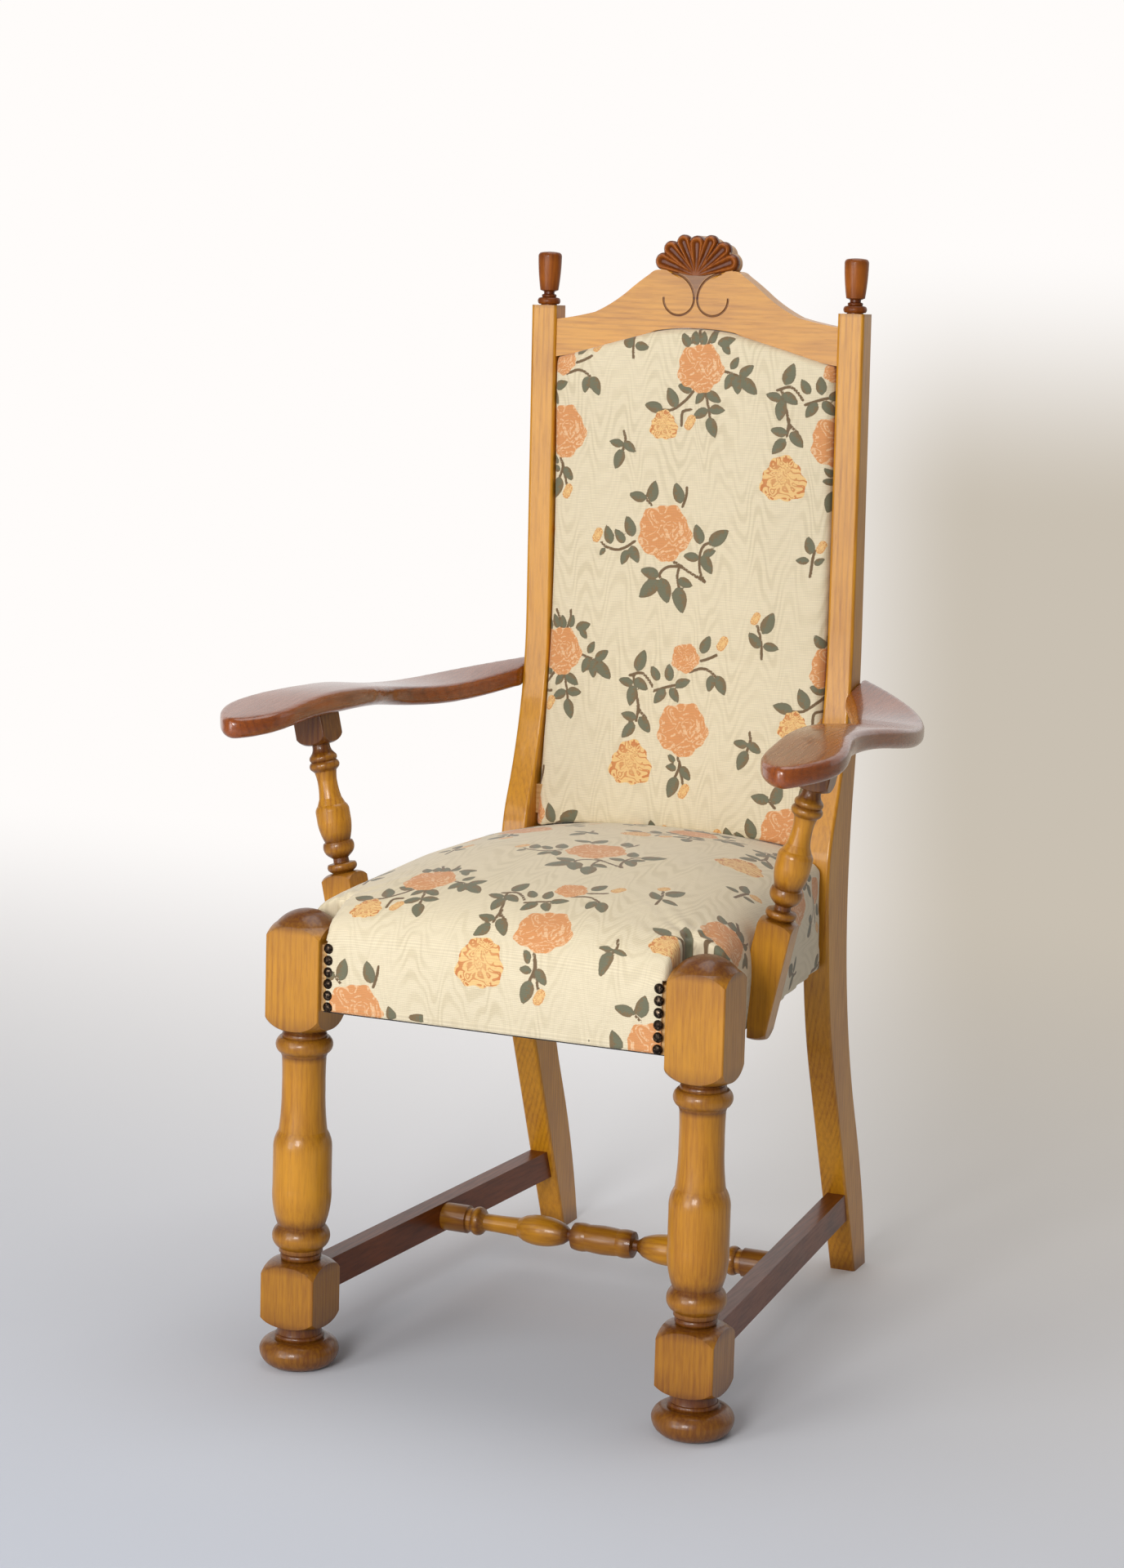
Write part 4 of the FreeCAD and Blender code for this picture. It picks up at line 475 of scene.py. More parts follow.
# Pattern of the tapestry, in millimetres from the middle of each spray's main flower.
# Leaves run from base to tip; stems are points in order; flowers are a place, a radius and a kind.
SALMON, GOLDEN, BUD = 0.0, 1.0, 2.0
GARLAND = (
    [(-23, 37, -44, 41), (-17, 34, -12, 58), (19, 34, 12, 57), (-65, -16, -71, 5), (-48, -14, -60, 1),
     (-38, -6, -46, 17), (-72, -21, -79, -30), (-44, -22, -51, -39), (-40, -17, -30, -36), (44, -10, 37, 12),
     (54, -10, 76, 7), (42, -26, 23, -24), (47, -22, 62, -16), (46, -23, 58, -43), (-5, -48, -28, -43),
     (-6, -54, -28, -74), (-2, -51, 7, -79), (18, -51, 36, -58), (18, -60, 25, -89)],
    [(-23, 37, -16, 30), (-35, -11, -45, -18, -56, -22, -70, -20, -77, -15),
     (50, -52, 44, -41, 43, -23, 48, -11, 60, -7), (9, -29, 29, -41, 50, -52),
     (22, -36, 5, -38, -4, -46, -2, -53), (19, -37, 17, -48, 20, -62), (21, 30, 25, 42, 26, 52)],
    [(0, 0, 33, SALMON), (-82, -7, 7, BUD)],
)  # fmt: skip
TRAILING = (
    [(-59, 61, -51, 85), (-32, 52, -42, 68), (-19, 52, -21, 72), (-12, 48, 6, 55), (-24, 43, -36, 26),
     (-17, 45, -7, 29), (-63, 46, -81, 50), (-61, 52, -44, 40), (-62, 44, -65, 21), (-56, 8, -75, 12),
     (-52, 10, -38, -7), (-58, 2, -72, -15), (31, 62, 28, 43), (37, 62, 47, 41), (17, 86, 26, 106),
     (-3, -44, -17, -42), (2, -41, 14, -56), (-3, -53, -11, -77), (-6, -37, -15, -28)],
    [(-68, 55, -54, 59, -45, 53, -39, 45), (-63, 55, -56, 29, -54, 19, -44, 9), (-37, 40, -20, 46, -5, 50),
     (4, 64, 20, 69, 33, 63, 41, 53), (16, 77, 25, 80, 35, 85), (-54, 23, -56, 5), (-3, -31, 0, -41, -6, -58),
     (0, -36, 4, -54, 7, -64)],
    [(0, 0, 31, SALMON), (-2, 79, 17, SALMON), (-59, -43, 26, GOLDEN), (41, 98, 7, BUD), (7, -68, 7, BUD)],
)  # fmt: skip
BRANCHING = (
    [(36, 0, 44, 14), (46, -7, 62, 5), (38, -5, 30, -23), (43, -7, 45, -28), (49, -10, 67, -27),
     (-9, -26, -26, -19), (-27, -44, -37, -22), (-43, -47, -65, -42), (5, -26, -4, -40), (9, -26, 26, -37),
     (12, -45, 31, -45), (10, -45, -7, -55), (12, -54, 20, -76), (-14, 23, -24, 38), (-5, 25, -11, 41),
     (3, 25, 0, 41), (11, 27, 15, 42), (19, 27, 38, 33), (25, 27, 34, 15)],
    [(26, -2, 41, -6, 49, -10), (-5, -23, -16, -36, -32, -47, -49, -47), (7, -26, 12, -46, 14, -59),
     (-20, -64, -19, -49, -9, -46), (0, 25, -3, 36, -8, 46), (7, 25, 11, 37, 11, 47)],
    [(0, 0, 28, SALMON), (-41, -65, 17, GOLDEN), (-10, -60, 7, BUD)],
)  # fmt: skip
TREFOIL = ([(0, -2, -17, 1), (1, 1, 16, -10), (-1, -8, -9, -30)], [(1, 13, 3, 3, -1, -11)], [])
SPRIG = (
    [(1, 3, 12, 27), (-2, -13, -15, 4), (2, -10, 20, -13)],
    [(-6, 12, -1, -5, 1, -25)],
    [(-8, 19, 6, BUD)],
)
SLIP = ([(1, 1, -3, 21), (-1, -6, -16, -7), (5, -10, 16, -3)], [(5, 5, 3, -5, 1, -24)], [(12, 9, 6, BUD)])
# Where the sprays lie in one repeat, in millimetres; each comes again half a repeat across and along.
LAYOUT = [
    (GARLAND, -23, 844), (TRAILING, 10, 627), (BRANCHING, 15, 1028), (TREFOIL, -75, 942), (SPRIG, 96, 736),
    (SLIP, 145, 828),
]  # fmt: skip
LEAF_WIDTH, STEM_WIDTH = 0.285, 1.65


def flowed(points):
    """Points along a smooth stem through the given ones."""
    given = np.array(points, float).reshape(-1, 2)
    if len(given) < 3:
        return given
    ends = np.vstack([2 * given[0] - given[1], given, 2 * given[-1] - given[-2]])
    steps = np.linspace(0, 1, 6, endpoint=False)[:, None]
    line = []
    for a, b, c, d in zip(ends, ends[1:], ends[2:], ends[3:]):
        second, third = 2 * a - 5 * b + 4 * c - d, 3 * b - a - 3 * c + d
        line.append(0.5 * (2 * b + (c - a) * steps + second * steps**2 + third * steps**3))
    return np.vstack([*line, given[-1:]])


def from_line(places, start, end):
    """Share along a straight line, distance beside it and distance from it, for each place."""
    run = end - start
    length = max(math.hypot(*run), 1e-6)
    off = places - start
    along = off @ run / length**2
    beside = (off[:, 0] * -run[1] + off[:, 1] * run[0]) / length
    near = np.clip(along, 0, 1)[:, None]
    return along, beside, np.linalg.norm(off - near * run, axis=1), length


def woven(obj, places, motif_origin):
    """Give a cover its place on the cloth, in metres, and its distances from the woven motifs, in millimetres."""
    look = bpy.context.scene.chair_tapestry
    across, along = look.repeat_across * 500, look.repeat_along * 500
    flat = places * 1000 - np.array(motif_origin)
    count = len(flat)
    leaf, side = np.full(count, 30.0), np.zeros(count)
    stem, bloom = np.full(count, 30.0), np.full(count, 30.0)
    heart, kind = np.zeros((count, 2)), np.zeros(count)
    low, high = flat.min(0) - 100, flat.max(0) + 100
    for (leaves, stems, flowers), x, z in LAYOUT:
        for i in range(-6, 7):
            for j in range(-6, 7):
                centre = np.array([x + i * across, z + j * along])
                if (i + j) % 2 or np.any(centre < low) or np.any(centre > high):
                    continue
                near = np.flatnonzero(np.abs(flat - centre).max(1) < 125)
                if not len(near):
                    continue
                spot = flat[near] - centre
                for x0, z0, x1, z1 in leaves:
                    share, beside, away, length = from_line(spot, np.array([x0, z0]), np.array([x1, z1]))
                    inner = np.clip(share, 0.0, 1.0)
                    half = LEAF_WIDTH * length * 2.56 * inner**0.55 * (1 - inner) ** 0.85
                    edge = np.where((share > 0) & (share < 1), np.abs(beside) - half, away)
                    closer = edge < leaf[near]
                    leaf[near] = np.where(closer, edge, leaf[near])
                    side[near] = np.where(closer, beside / (LEAF_WIDTH * length), side[near])
                for points in stems:
                    line = flowed(points)
                    for start, end in zip(line, line[1:]):
                        away = from_line(spot, start, end)[2] - STEM_WIDTH
                        stem[near] = np.minimum(stem[near], away)
                for x0, z0, radius, sort in flowers:
                    off = spot - np.array([x0, z0])
                    reach = np.hypot(*off.T)
                    turn = np.arctan2(off[:, 1], off[:, 0])
                    rim = radius * (0.95 + 0.055 * np.cos(5 * turn + 0.6) + 0.03 * np.cos(11 * turn + x0))
                    if sort == BUD:
                        rim = radius * (1.0 + 0.3 * np.cos(2 * turn - 2.2))
                    if sort == GOLDEN:
                        rim = radius * (0.95 + 0.1 * np.cos(3 * turn + 1.57) + 0.05 * np.cos(9 * turn))
                    closer = reach - rim < bloom[near]
                    bloom[near] = np.where(closer, reach - rim, bloom[near])
                    kind[near] = np.where(closer, sort, kind[near])
                    heart[near] = np.where(closer[:, None], off / radius, heart[near])
    for name, values in (
        ("cloth_place", np.column_stack([places, np.zeros(count)])),
        ("woven_edges", np.column_stack([leaf, stem, bloom])),
        ("woven_heart", np.column_stack([heart, kind])),
        ("leaf_side", np.column_stack([side, side, side])),
    ):
        kept = obj.data.attributes.new(name, "FLOAT_VECTOR", "POINT")
        kept.data.foreach_set("vector", values.astype(np.float32).ravel())


def tapestry():
    """Ribbed moire tapestry with woven roses."""
    if "rose_tapestry" in bpy.data.materials:
        return bpy.data.materials["rose_tapestry"]
    look = bpy.context.scene.chair_tapestry
    finish = Finish("rose_tapestry")

    def stored(name):
        return finish.node("Attribute", {"attribute_name": name}, {}, "Vector")

    cloth = stored("cloth_place")
    u, v, _ = cloth.parts()
    leaf, stem, bloom = stored("woven_edges").parts()
    heart = stored("woven_heart")
    heart_x, heart_z, kind = heart.parts()
    side = stored("leaf_side").parts()[0]
    # Ribs run across; each is beaded by the warp that crosses it.
    ribs = (v * (2 * math.pi / look.rib)).wave()
    warp = (u * (2 * math.pi / (look.rib * 0.8))).wave()
    slub = finish.noise(finish.laid((60, 700, 1), vector=cloth), 1, 2)
    # Moire: flame-shaped level lines, tone on tone.
    sway = finish.noise(finish.laid((24, 6, 1), vector=cloth), 1, 2, 0.5)
    peaks = (u * 150 + sway * 8).wave()
    swell = finish.noise(finish.laid((9, 3.2, 1), (3, 1, 0), cloth), 1, 1)
    flame = (v * 230 + peaks * 13 + swell * 38).wave()
    patch = finish.noise(finish.laid((26, 11, 1), (7, 2, 0), cloth), 1, 2).between(0.38, 0.66)
    moire = flame.between(0.25, 0.95) * (patch * 0.75 + 0.25)
    ground = finish.mix(moire * 0.52, look.ground, look.watermark)
    # Woven edges step along the ribs.
    ragged = (finish.noise(finish.laid((330, 430, 1), (1, 4, 0), cloth), 1, 1) - 0.5) * 1.5
    curl = finish.noise(heart, 1.5, 1.5, 0.5, 1.2)
    ring = heart_x.hypot(heart_z)
    strokes = (curl * 42 + ring * 7).wave()
    broken = finish.noise(heart, 9, 2, 0.6).between(0.36, 0.56)
    petals = strokes.between(0.62, 0.86) * broken
    salmon = finish.mix(petals * 0.85, look.rose, look.petal)
    yellow = finish.mix(strokes.between(0.5, 0.8) * (0.35 + ring * 0.65), look.golden, look.ember)
    flower = finish.mix(kind.between(0.4, 0.6), salmon, yellow)
    mottled = finish.noise(finish.laid((420, 300, 1), (2, 9, 0), cloth), 1, 2)
    brown = (side * 0.35 + mottled).between(0.52, 0.68)
    green = finish.mix(brown * 0.7, look.leaf, look.sear)
    rim = (leaf + ragged).between(-1.6, -0.4)
    green = finish.mix(rim * 0.45, green, look.stem)
    colour = finish.mix((stem + ragged * 0.6).between(0.35, -0.35), ground, look.stem)
    colour = finish.mix((leaf + ragged * 0.6).between(0.35, -0.35), colour, green)
    colour = finish.mix((bloom + ragged).between(0.4, -0.4), colour, flower)
    # Painted shade between the ribs and between the warp's beads, and darker slubs in the thread.
    rib_shade_and_slub = (1 - ribs) * 0.15 + (1 - warp) * 0.07 + slub.between(0.35, 0.8) * 0.08
    colour = finish.mix(rib_shade_and_slub, colour, look.stem)
    raised = ribs * 0.55 + warp * 0.25 + slub * 0.3
    return finish.surface(
        base_color=colour,
        roughness=0.74 - moire * 0.1,
        sheen_weight=0.25,
        sheen_roughness=0.45,
        normal=finish.bump(raised, 0.00035, 0.55),
    )


def plain_cloth(name, colour, thread):
    """A plain woven cloth."""
    finish = Finish(name)
    place = finish.place()
    x, y, z = place.parts()
    lengthways = ((x + z * 0.6) * (2 * math.pi / thread)).wave()
    crossways = ((y - z * 0.6) * (2 * math.pi / thread)).wave()
    worn = finish.noise(place, 18, 3).between(0.35, 0.75)
    shade = (1 - lengthways) * 0.25 + (1 - crossways) * 0.25 + worn * 0.2
    dark = tuple(part * 0.45 for part in colour)
    return finish.surface(
        base_color=finish.mix(shade, colour, dark),
        roughness=0.88,
        sheen_weight=0.15,
        normal=finish.bump(lengthways * crossways, 0.0003, 0.6),
    )


def aged_metal(name, colour, bright, roughness):
    """Metal with worn, brighter spots."""
    finish = Finish(name)
    place = finish.place()
    worn = finish.noise(place, 420, 3).between(0.45, 0.75)
    return finish.surface(
        base_color=finish.mix(worn, colour, bright),
        metallic=1.0,
        roughness=worn * -0.12 + roughness,
        normal=finish.bump(finish.noise(place, 900, 2), 0.0001, 0.4),
    )


# Shapes.


CLOTH_PRESSURE, CLOTH_FRAMES, CLOTH_THICKNESS = 4.0, 20, 0.0011


def alone(obj):
    """Make an object the only one that is selected."""
    bpy.ops.object.select_all(action="DESELECT")
    obj.select_set(True)
    bpy.context.view_layer.objects.active = obj


def apply(obj, kind, **settings):
    alone(obj)
    modifier = obj.modifiers.new(kind.title(), kind)
    for key, value in settings.items():
        setattr(modifier, key, value)
    bpy.ops.object.modifier_apply(modifier=modifier.name)


def coordinates(obj):
    places = np.empty(len(obj.data.vertices) * 3)
    obj.data.vertices.foreach_get("co", places)
    return places.reshape(-1, 3)


def reshape(obj, places):
    obj.data.vertices.foreach_set("co", np.asarray(places, float).ravel())
    obj.data.update()


def grid(name, across, along):
    """A flat grid from -1 to 1 both ways, to be shaped."""
    bpy.ops.object.select_all(action="DESELECT")
    bpy.ops.mesh.primitive_grid_add(x_subdivisions=across, y_subdivisions=along, size=2)
    made = bpy.context.object
    made.name = made.data.name = name
    return made


def close_behind(obj, moved):
    """Close an open sheet with a copy of itself whose places the function moves."""
    shape = bmesh.new()
    shape.from_mesh(obj.data)
    made = bmesh.ops.extrude_face_region(shape, geom=shape.faces[:], use_keep_orig=True)
    for part in made["geom"]:
        if isinstance(part, bmesh.types.BMVert):
            part.co = moved(part.co)
    bmesh.ops.recalc_face_normals(shape, faces=shape.faces[:])
    shape.to_mesh(obj.data)
    shape.free()


def weld(obj, distance):
    """Join points that lie together, turn the faces outward and give the area that faces up."""
    shape = bmesh.new()
    shape.from_mesh(obj.data)
    bmesh.ops.remove_doubles(shape, verts=shape.verts[:], dist=distance)
    bmesh.ops.recalc_face_normals(shape, faces=shape.faces[:])
    area = sum(face.calc_area() for face in shape.faces if face.normal.z > 0.9)
    shape.to_mesh(obj.data)
    shape.free()
    return area


def cutter(low, high):
    """A box between two corners, to cut with."""
    bpy.ops.object.select_all(action="DESELECT")
    bpy.ops.mesh.primitive_cube_add(size=1, location=(Vector(low) + Vector(high)) / 2)
    made = bpy.context.object
    made.scale = Vector(high) - Vector(low)
    bpy.ops.object.transform_apply(location=True, rotation=True, scale=True)
    return made


def cut_away(obj, tool):
    """Take a box out of an object."""
    apply(obj, "BOOLEAN", operation="DIFFERENCE", object=tool, solver="EXACT")
    bpy.data.objects.remove(tool)


def blow_up(obj, tacked, most):
    """Swell a closed cover as cloth, held where it is tacked and by no more than a given rise."""
    rest = coordinates(obj)
    obj.vertex_groups.new(name="tacked").add([int(i) for i in np.flatnonzero(tacked)], 1.0, "REPLACE")
    alone(obj)
    modifier = obj.modifiers.new("Cloth", "CLOTH")
    cloth = modifier.settings
    cloth.quality = 5
    cloth.mass = 0.3
    cloth.tension_stiffness = cloth.compression_stiffness = 20
    cloth.shear_stiffness, cloth.bending_stiffness = 8, 0.6
    cloth.use_pressure, cloth.uniform_pressure_force = True, CLOTH_PRESSURE
    cloth.vertex_group_mass = "tacked"
    cloth.effector_weights.gravity = 0
    modifier.collision_settings.use_collision = False
    modifier.point_cache.frame_start, modifier.point_cache.frame_end = 1, CLOTH_FRAMES
    for number in range(1, CLOTH_FRAMES + 1):
        bpy.context.scene.frame_set(number)
    bpy.ops.object.modifier_apply(modifier=modifier.name)
    bpy.context.scene.frame_set(1)
    moved = coordinates(obj) - rest
    reach = np.linalg.norm(moved, axis=1, keepdims=True)
    reshape(obj, rest + moved * np.minimum(1, most / np.maximum(reach, 1e-9)))
    obj.vertex_groups.clear()


def smooth(obj):
    alone(obj)
    bpy.ops.object.shade_smooth()


def complete(obj, material, replaces=()):
    """Give a piece its material and its place in the frame."""
    obj.data.materials.clear()
    obj.data.materials.append(material)
    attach(obj, "root")
    if replaces:
        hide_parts(*replaces)


def profile(node, by, of, pick, bins):
    """How far a CAD node reaches along one axis, looked up by its place on another."""
    places = coordinates(NODES[node])
    key, value = places[:, by], places[:, of]
    stops = np.linspace(key.min(), key.max(), bins + 1)
    middle, reached = [], []
    for low, high in zip(stops, stops[1:]):
        inside = (key >= low - 1e-6) & (key <= high + 1e-6)
        if inside.any():
            best = pick(value[inside])
            middle.append(key[inside][np.argmin(np.abs(value[inside] - best))])
            reached.append(best)
    order = np.argsort(middle)
    return lambda at: np.interp(at, np.array(middle)[order], np.array(reached)[order])


def spline(keys, values, at):
    """A smooth curve through a table, looked up at some places."""
    keys, values = np.asarray(keys, float), np.asarray(values, float)
    step, last = np.diff(keys), len(keys) - 1
    slope = np.diff(values) / step
    rows, wanted = np.eye(last + 1), np.zeros(last + 1)
    for row in range(1, last):
        rows[row, row - 1 : row + 2] = step[row - 1], 2 * (step[row - 1] + step[row]), step[row]
        wanted[row] = 6 * (slope[row] - slope[row - 1])
    bend = np.linalg.solve(rows, wanted)
    cell = np.clip(np.searchsorted(keys, at) - 1, 0, last - 1)
    before, after, wide = at - keys[cell], keys[cell + 1] - at, step[cell]
    curve = (bend[cell] * after**3 + bend[cell + 1] * before**3) / (6 * wide)
    start = values[cell] / wide - bend[cell] * wide / 6
    return curve + start * after + (values[cell + 1] / wide - bend[cell + 1] * wide / 6) * before


# The right arm from above, from its inner rear end round the nose to its outer rear end, in millimetres.
ARM_OUTLINE = np.array([
    (196, 191), (219, 141), (241, 82), (259, 16), (250, -57), (250, -138), (255, -217), (270, -278),
    (296, -299), (316, -280), (334, -239), (319, -152), (326, -10), (289, 157), (196, 258),
])  # fmt: skip
# The level of its top at a depth, which waves up over the front post and at the rear.
ARM_LEVELS = [
    (-300, 669.6), (-230, 678.1), (-170, 684.6), (-110, 684.9), (-40, 680.0), (40, 670.7), (130, 669.7), (230, 686.7),
]  # fmt: skip
ARM_POST_PLACE = -0.140


def arm_level(y):
    """The level of an arm's top at a depth."""
    return spline(*np.array(ARM_LEVELS).T, np.asarray(y) * 1000) / 1000


def shaped_arm(side):
    """One shaped arm: its waving outline, level and rounded edges."""
    size = bpy.context.scene.chair_arms
    steps = np.linalg.norm(np.diff(ARM_OUTLINE, axis=0), axis=1)
    keys = np.concatenate([[0], np.cumsum(steps)])

    def outline(at):
        return np.column_stack([spline(keys, ARM_OUTLINE[:, axis], at) for axis in (0, 1)]) / 1000

    dense = np.linspace(0, keys[-1], 700)
    rim = outline(dense)
    nose = dense[rim[:, 1].argmin()]
    arm = grid(f"shaped_arm_{side}", 18, 130)
    flat = coordinates(arm)
    across, along = np.sin(flat[:, 0] * math.pi / 2), ((flat[:, 1] + 1) / 2) ** 1.4
    inner, outer = outline(nose * (1 - along)), outline(nose + (keys[-1] - nose) * along)
    spot = (inner * (1 - across[:, None]) + outer * (1 + across[:, None])) / 2

    def rounding(place, radius):
        """How far a rounded edge falls off at a place."""
        inside = np.hypot(*(rim - (place[0], place[1])).T).min()
        return radius - math.sqrt(radius**2 - max(radius - inside, 0) ** 2)

    drop = size.crown * across**2 + [rounding(place, size.upper_edge) for place in spot]
    reshape(arm, np.column_stack([spot, arm_level(spot[:, 1]) - drop]))

    def under(place):
        pad = size.pad * math.exp(-(((place.y - ARM_POST_PLACE) / 0.05) ** 2))
        level = float(arm_level(place.y)) - size.thickness - pad
        return place.x, place.y, level + rounding(place, size.lower_edge)

    close_behind(arm, under)
    weld(arm, 2e-5)
    apply(arm, "REMESH", mode="VOXEL", voxel_size=size.mesh_step)
    apply(arm, "SMOOTH", factor=0.5, iterations=6)
    if side == "left":
        reshape(arm, coordinates(arm) * np.array([-1, 1, 1]))
        arm.data.flip_normals()
    smooth(arm)
    complete(arm, stained("walnut_arm"), [f"arm_{side}"])


SEAT_LOW, SEAT_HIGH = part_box("seat_cover")
STUFFING_LEVEL = 0.4522
SEAT_MOTIF_ORIGIN = (38, -514)
# The seat from front to back: shares of its depth, then of its height for the crown and the edge.
SEAT_RISE = np.array([
    (0.000, 0.537, 0.416), (0.020, 0.671, 0.537), (0.073, 0.785, 0.590), (0.175, 0.886, 0.631),
    (0.460, 1.000, 0.685), (0.725, 0.987, 0.738), (0.925, 0.925, 0.755), (1.000, 0.890, 0.748),
])  # fmt: skip
# Half the seat's width in front of its side rails and at its rear posts, and where these are.
SEAT_WIDTHS = ([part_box("front_leg_left")[1].y, 0.155], [0.2277, 0.188])
# How fast a back post's front face goes back with each metre down, below the seat's stuffing.
POST_SLOPE = 0.135
CORNER_POSTS = {}
for corner_post in ("front_leg_left", "front_leg_right", "back_post_left", "back_post_right"):
    post_low, post_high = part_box(corner_post)
    if corner_post.startswith("back"):
        post_low.y = 0.155
    CORNER_POSTS[corner_post] = (post_low, post_high)


def seat_side(y):
    """Half the seat's width at a depth."""
    return np.interp(y, *SEAT_WIDTHS)


def seat_along(y):
    """Share of the seat's depth, from its front."""
    return np.clip((y - SEAT_LOW.y) / (SEAT_HIGH.y - SEAT_LOW.y), 0, 1)


def seat_crown(y):
    """The seat's level at its middle."""
    return SEAT_LOW.z + (SEAT_HIGH.z - SEAT_LOW.z) * np.interp(seat_along(y), SEAT_RISE[:, 0], SEAT_RISE[:, 1])


def seat_edge(y):
    """The seat's level at its sides."""
    return SEAT_LOW.z + (SEAT_HIGH.z - SEAT_LOW.z) * np.interp(seat_along(y), SEAT_RISE[:, 0], SEAT_RISE[:, 2])


def seat_top(x, y):
    """The seat's level anywhere, domed from its sides to its middle."""
    share = np.clip(np.abs(x) / seat_side(y), 0, 1)
    return seat_edge(y) + (seat_crown(y) - seat_edge(y)) * (1 - share**3) ** 0.625


def tuck(places, corner, heading, depth, reach):
    """Press a fold into a cover, running out from a corner."""
    off = places - np.array(corner)
    run = np.array(heading) / np.linalg.norm(heading)
    along = off @ run
    beside = np.linalg.norm(off - along[:, None] * run, axis=1)
    fade = np.clip(1 - along / reach, 0, 1) * (along > -0.004)
    valley = depth * fade * np.exp(-((beside / 0.0045) ** 2))
    ridge = depth * 0.55 * fade * np.exp(-(((beside - 0.010) / 0.005) ** 2))
    return valley - ridge


def seat_cover():
    """The stuffed seat, cut out round its four posts and hollow over the webbing."""
    size = bpy.context.scene.chair_upholstery
    seat = grid("seat_upholstery", 70, 76)
    flat = coordinates(seat)
    along = (flat[:, 1] + 1) / 2
    y = SEAT_LOW.y + (SEAT_HIGH.y - SEAT_LOW.y) * along**1.15
    x = flat[:, 0] * seat_side(y)
    reshape(seat, np.column_stack([x, y, seat_top(x, y)]))
    close_behind(seat, lambda place: (place.x, place.y, SEAT_LOW.z))
    gap, clear, floor = 0.002, 0.1, SEAT_LOW.z - 0.002
    for name, (low, high) in CORNER_POSTS.items():
        left, front = name.endswith("left"), name.startswith("front")
        near = (low.x - (clear if left else gap), low.y - (clear if front else gap))
        far = (high.x + (gap if left else clear), high.y + (gap if front else clear))
        cut_away(seat, cutter((*near, STUFFING_LEVEL), (*far, SEAT_HIGH.z + clear)))
        # Below the stuffing a back post curves away to the rear.
        tool = cutter((*near, floor), (*far, STUFFING_LEVEL))
        corners = coordinates(tool)
        curved = (not front) & (corners[:, 1] < low.y) & (corners[:, 2] < STUFFING_LEVEL - gap)
        corners[curved, 1] += (STUFFING_LEVEL - floor) * POST_SLOPE
        reshape(tool, corners)
        cut_away(seat, tool)
    apply(seat, "REMESH", mode="VOXEL", voxel_size=size.mesh_step)
    places = coordinates(seat)
    beside = np.full(len(places), False)
    for low, high in CORNER_POSTS.values():
        off = np.maximum(np.maximum(np.array(low)[:2] - places[:, :2], places[:, :2] - np.array(high)[:2]), 0)
        beside |= np.hypot(*off.T) < 0.008
    blow_up(seat, beside | (places[:, 2] < SEAT_LOW.z + 0.012), size.seat_rise)
    apply(seat, "SUBSURF", levels=1, render_levels=1)
    places = coordinates(seat)
    pressed = np.zeros(len(places))
    leg = CORNER_POSTS["front_leg_right"]
    for sign in (-1, 1):
        corner = (sign * leg[0].x, leg[1].y, seat_top(leg[0].x, leg[1].y))
        for heading in ((-sign * 0.2, 1.0, 0.25), (-sign * 1.0, 0.5, 0.3), (sign * 0.9, 0.8, 0.0)):
            pressed += tuck(places, corner, heading, 0.0016, 0.05)
    normals = np.empty(len(places) * 3)
    seat.data.vertices.foreach_get("normal", normals)
    reshape(seat, places - normals.reshape(-1, 3) * pressed[:, None])
    hollow = cutter((-1, SEAT_LOW.y + size.skirt, 0.3), (1, SEAT_HIGH.y - size.skirt, STUFFING_LEVEL))
    corners = coordinates(hollow)
    taper = np.polyfit(*SEAT_WIDTHS, 1)
    corners[:, 0] = np.sign(corners[:, 0]) * (np.polyval(taper, corners[:, 1]) - size.skirt)
    reshape(hollow, corners)
    cut_away(seat, hollow)
    smooth(seat)
    places = coordinates(seat)
    x, y, z = places.T
    # The cloth's length is measured up the front and back over the crown.
    depth = np.linspace(SEAT_LOW.y, SEAT_HIGH.y, 300)
    line = np.vstack([[SEAT_LOW.y, SEAT_LOW.z], np.column_stack([depth, seat_crown(depth)])])
    run = np.concatenate([[0], np.cumsum(np.linalg.norm(np.diff(line, axis=0), axis=1))])
    drop = np.clip(seat_edge(y) - z, 0, None) * (np.abs(x) > seat_side(y) - 0.006)
    over = np.interp(y, line[1:, 0], run[1:])
    front = np.interp(y, [SEAT_LOW.y, SEAT_LOW.y + 0.012], [1, 0])
    share = np.clip((z - SEAT_LOW.z) / (seat_top(x, y) - SEAT_LOW.z), 0, 1)
    climb = run[1] * share
    fall = np.clip(seat_edge(y) - z, 0, None) * (y > SEAT_HIGH.y - 0.004) * (np.abs(x) < seat_side(y) - 0.006)
    along = over * (1 - front) + np.minimum(climb, over) * front + fall
    woven(seat, np.column_stack([x + np.sign(x) * drop, along]), SEAT_MOTIF_ORIGIN)
    complete(seat, tapestry(), ["seat_cover", "seat_pad"])


BACK_LOW, BACK_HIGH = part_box("back_cover")
# How far the back falls off towards its sides, and how its rim rolls in.
BACK_CROWN, BACK_ROLL, BACK_ROLL_REACH = 0.0075, 0.009, 0.010


def upper_edge(node):
    """The arched upper edge of a CAD node, looked up by the distance from its middle."""
    places = coordinates(NODES[node])
    spots = sorted({(round(abs(x), 6), round(z, 6)) for x, _, z in places})
    spots = [(-x, z) for x, z in reversed(spots)] + spots
    line = []
    for x, z in spots:
        while len(line) > 1 and (line[-1][0] - line[-2][0]) * (z - line[-2][1]) >= (line[-1][1] - line[-2][1]) * (
            x - line[-2][0]
        ):
            line.pop()
        line.append((x, z))
    x, z = np.array(line).T
    return lambda at: np.interp(at, x, z)


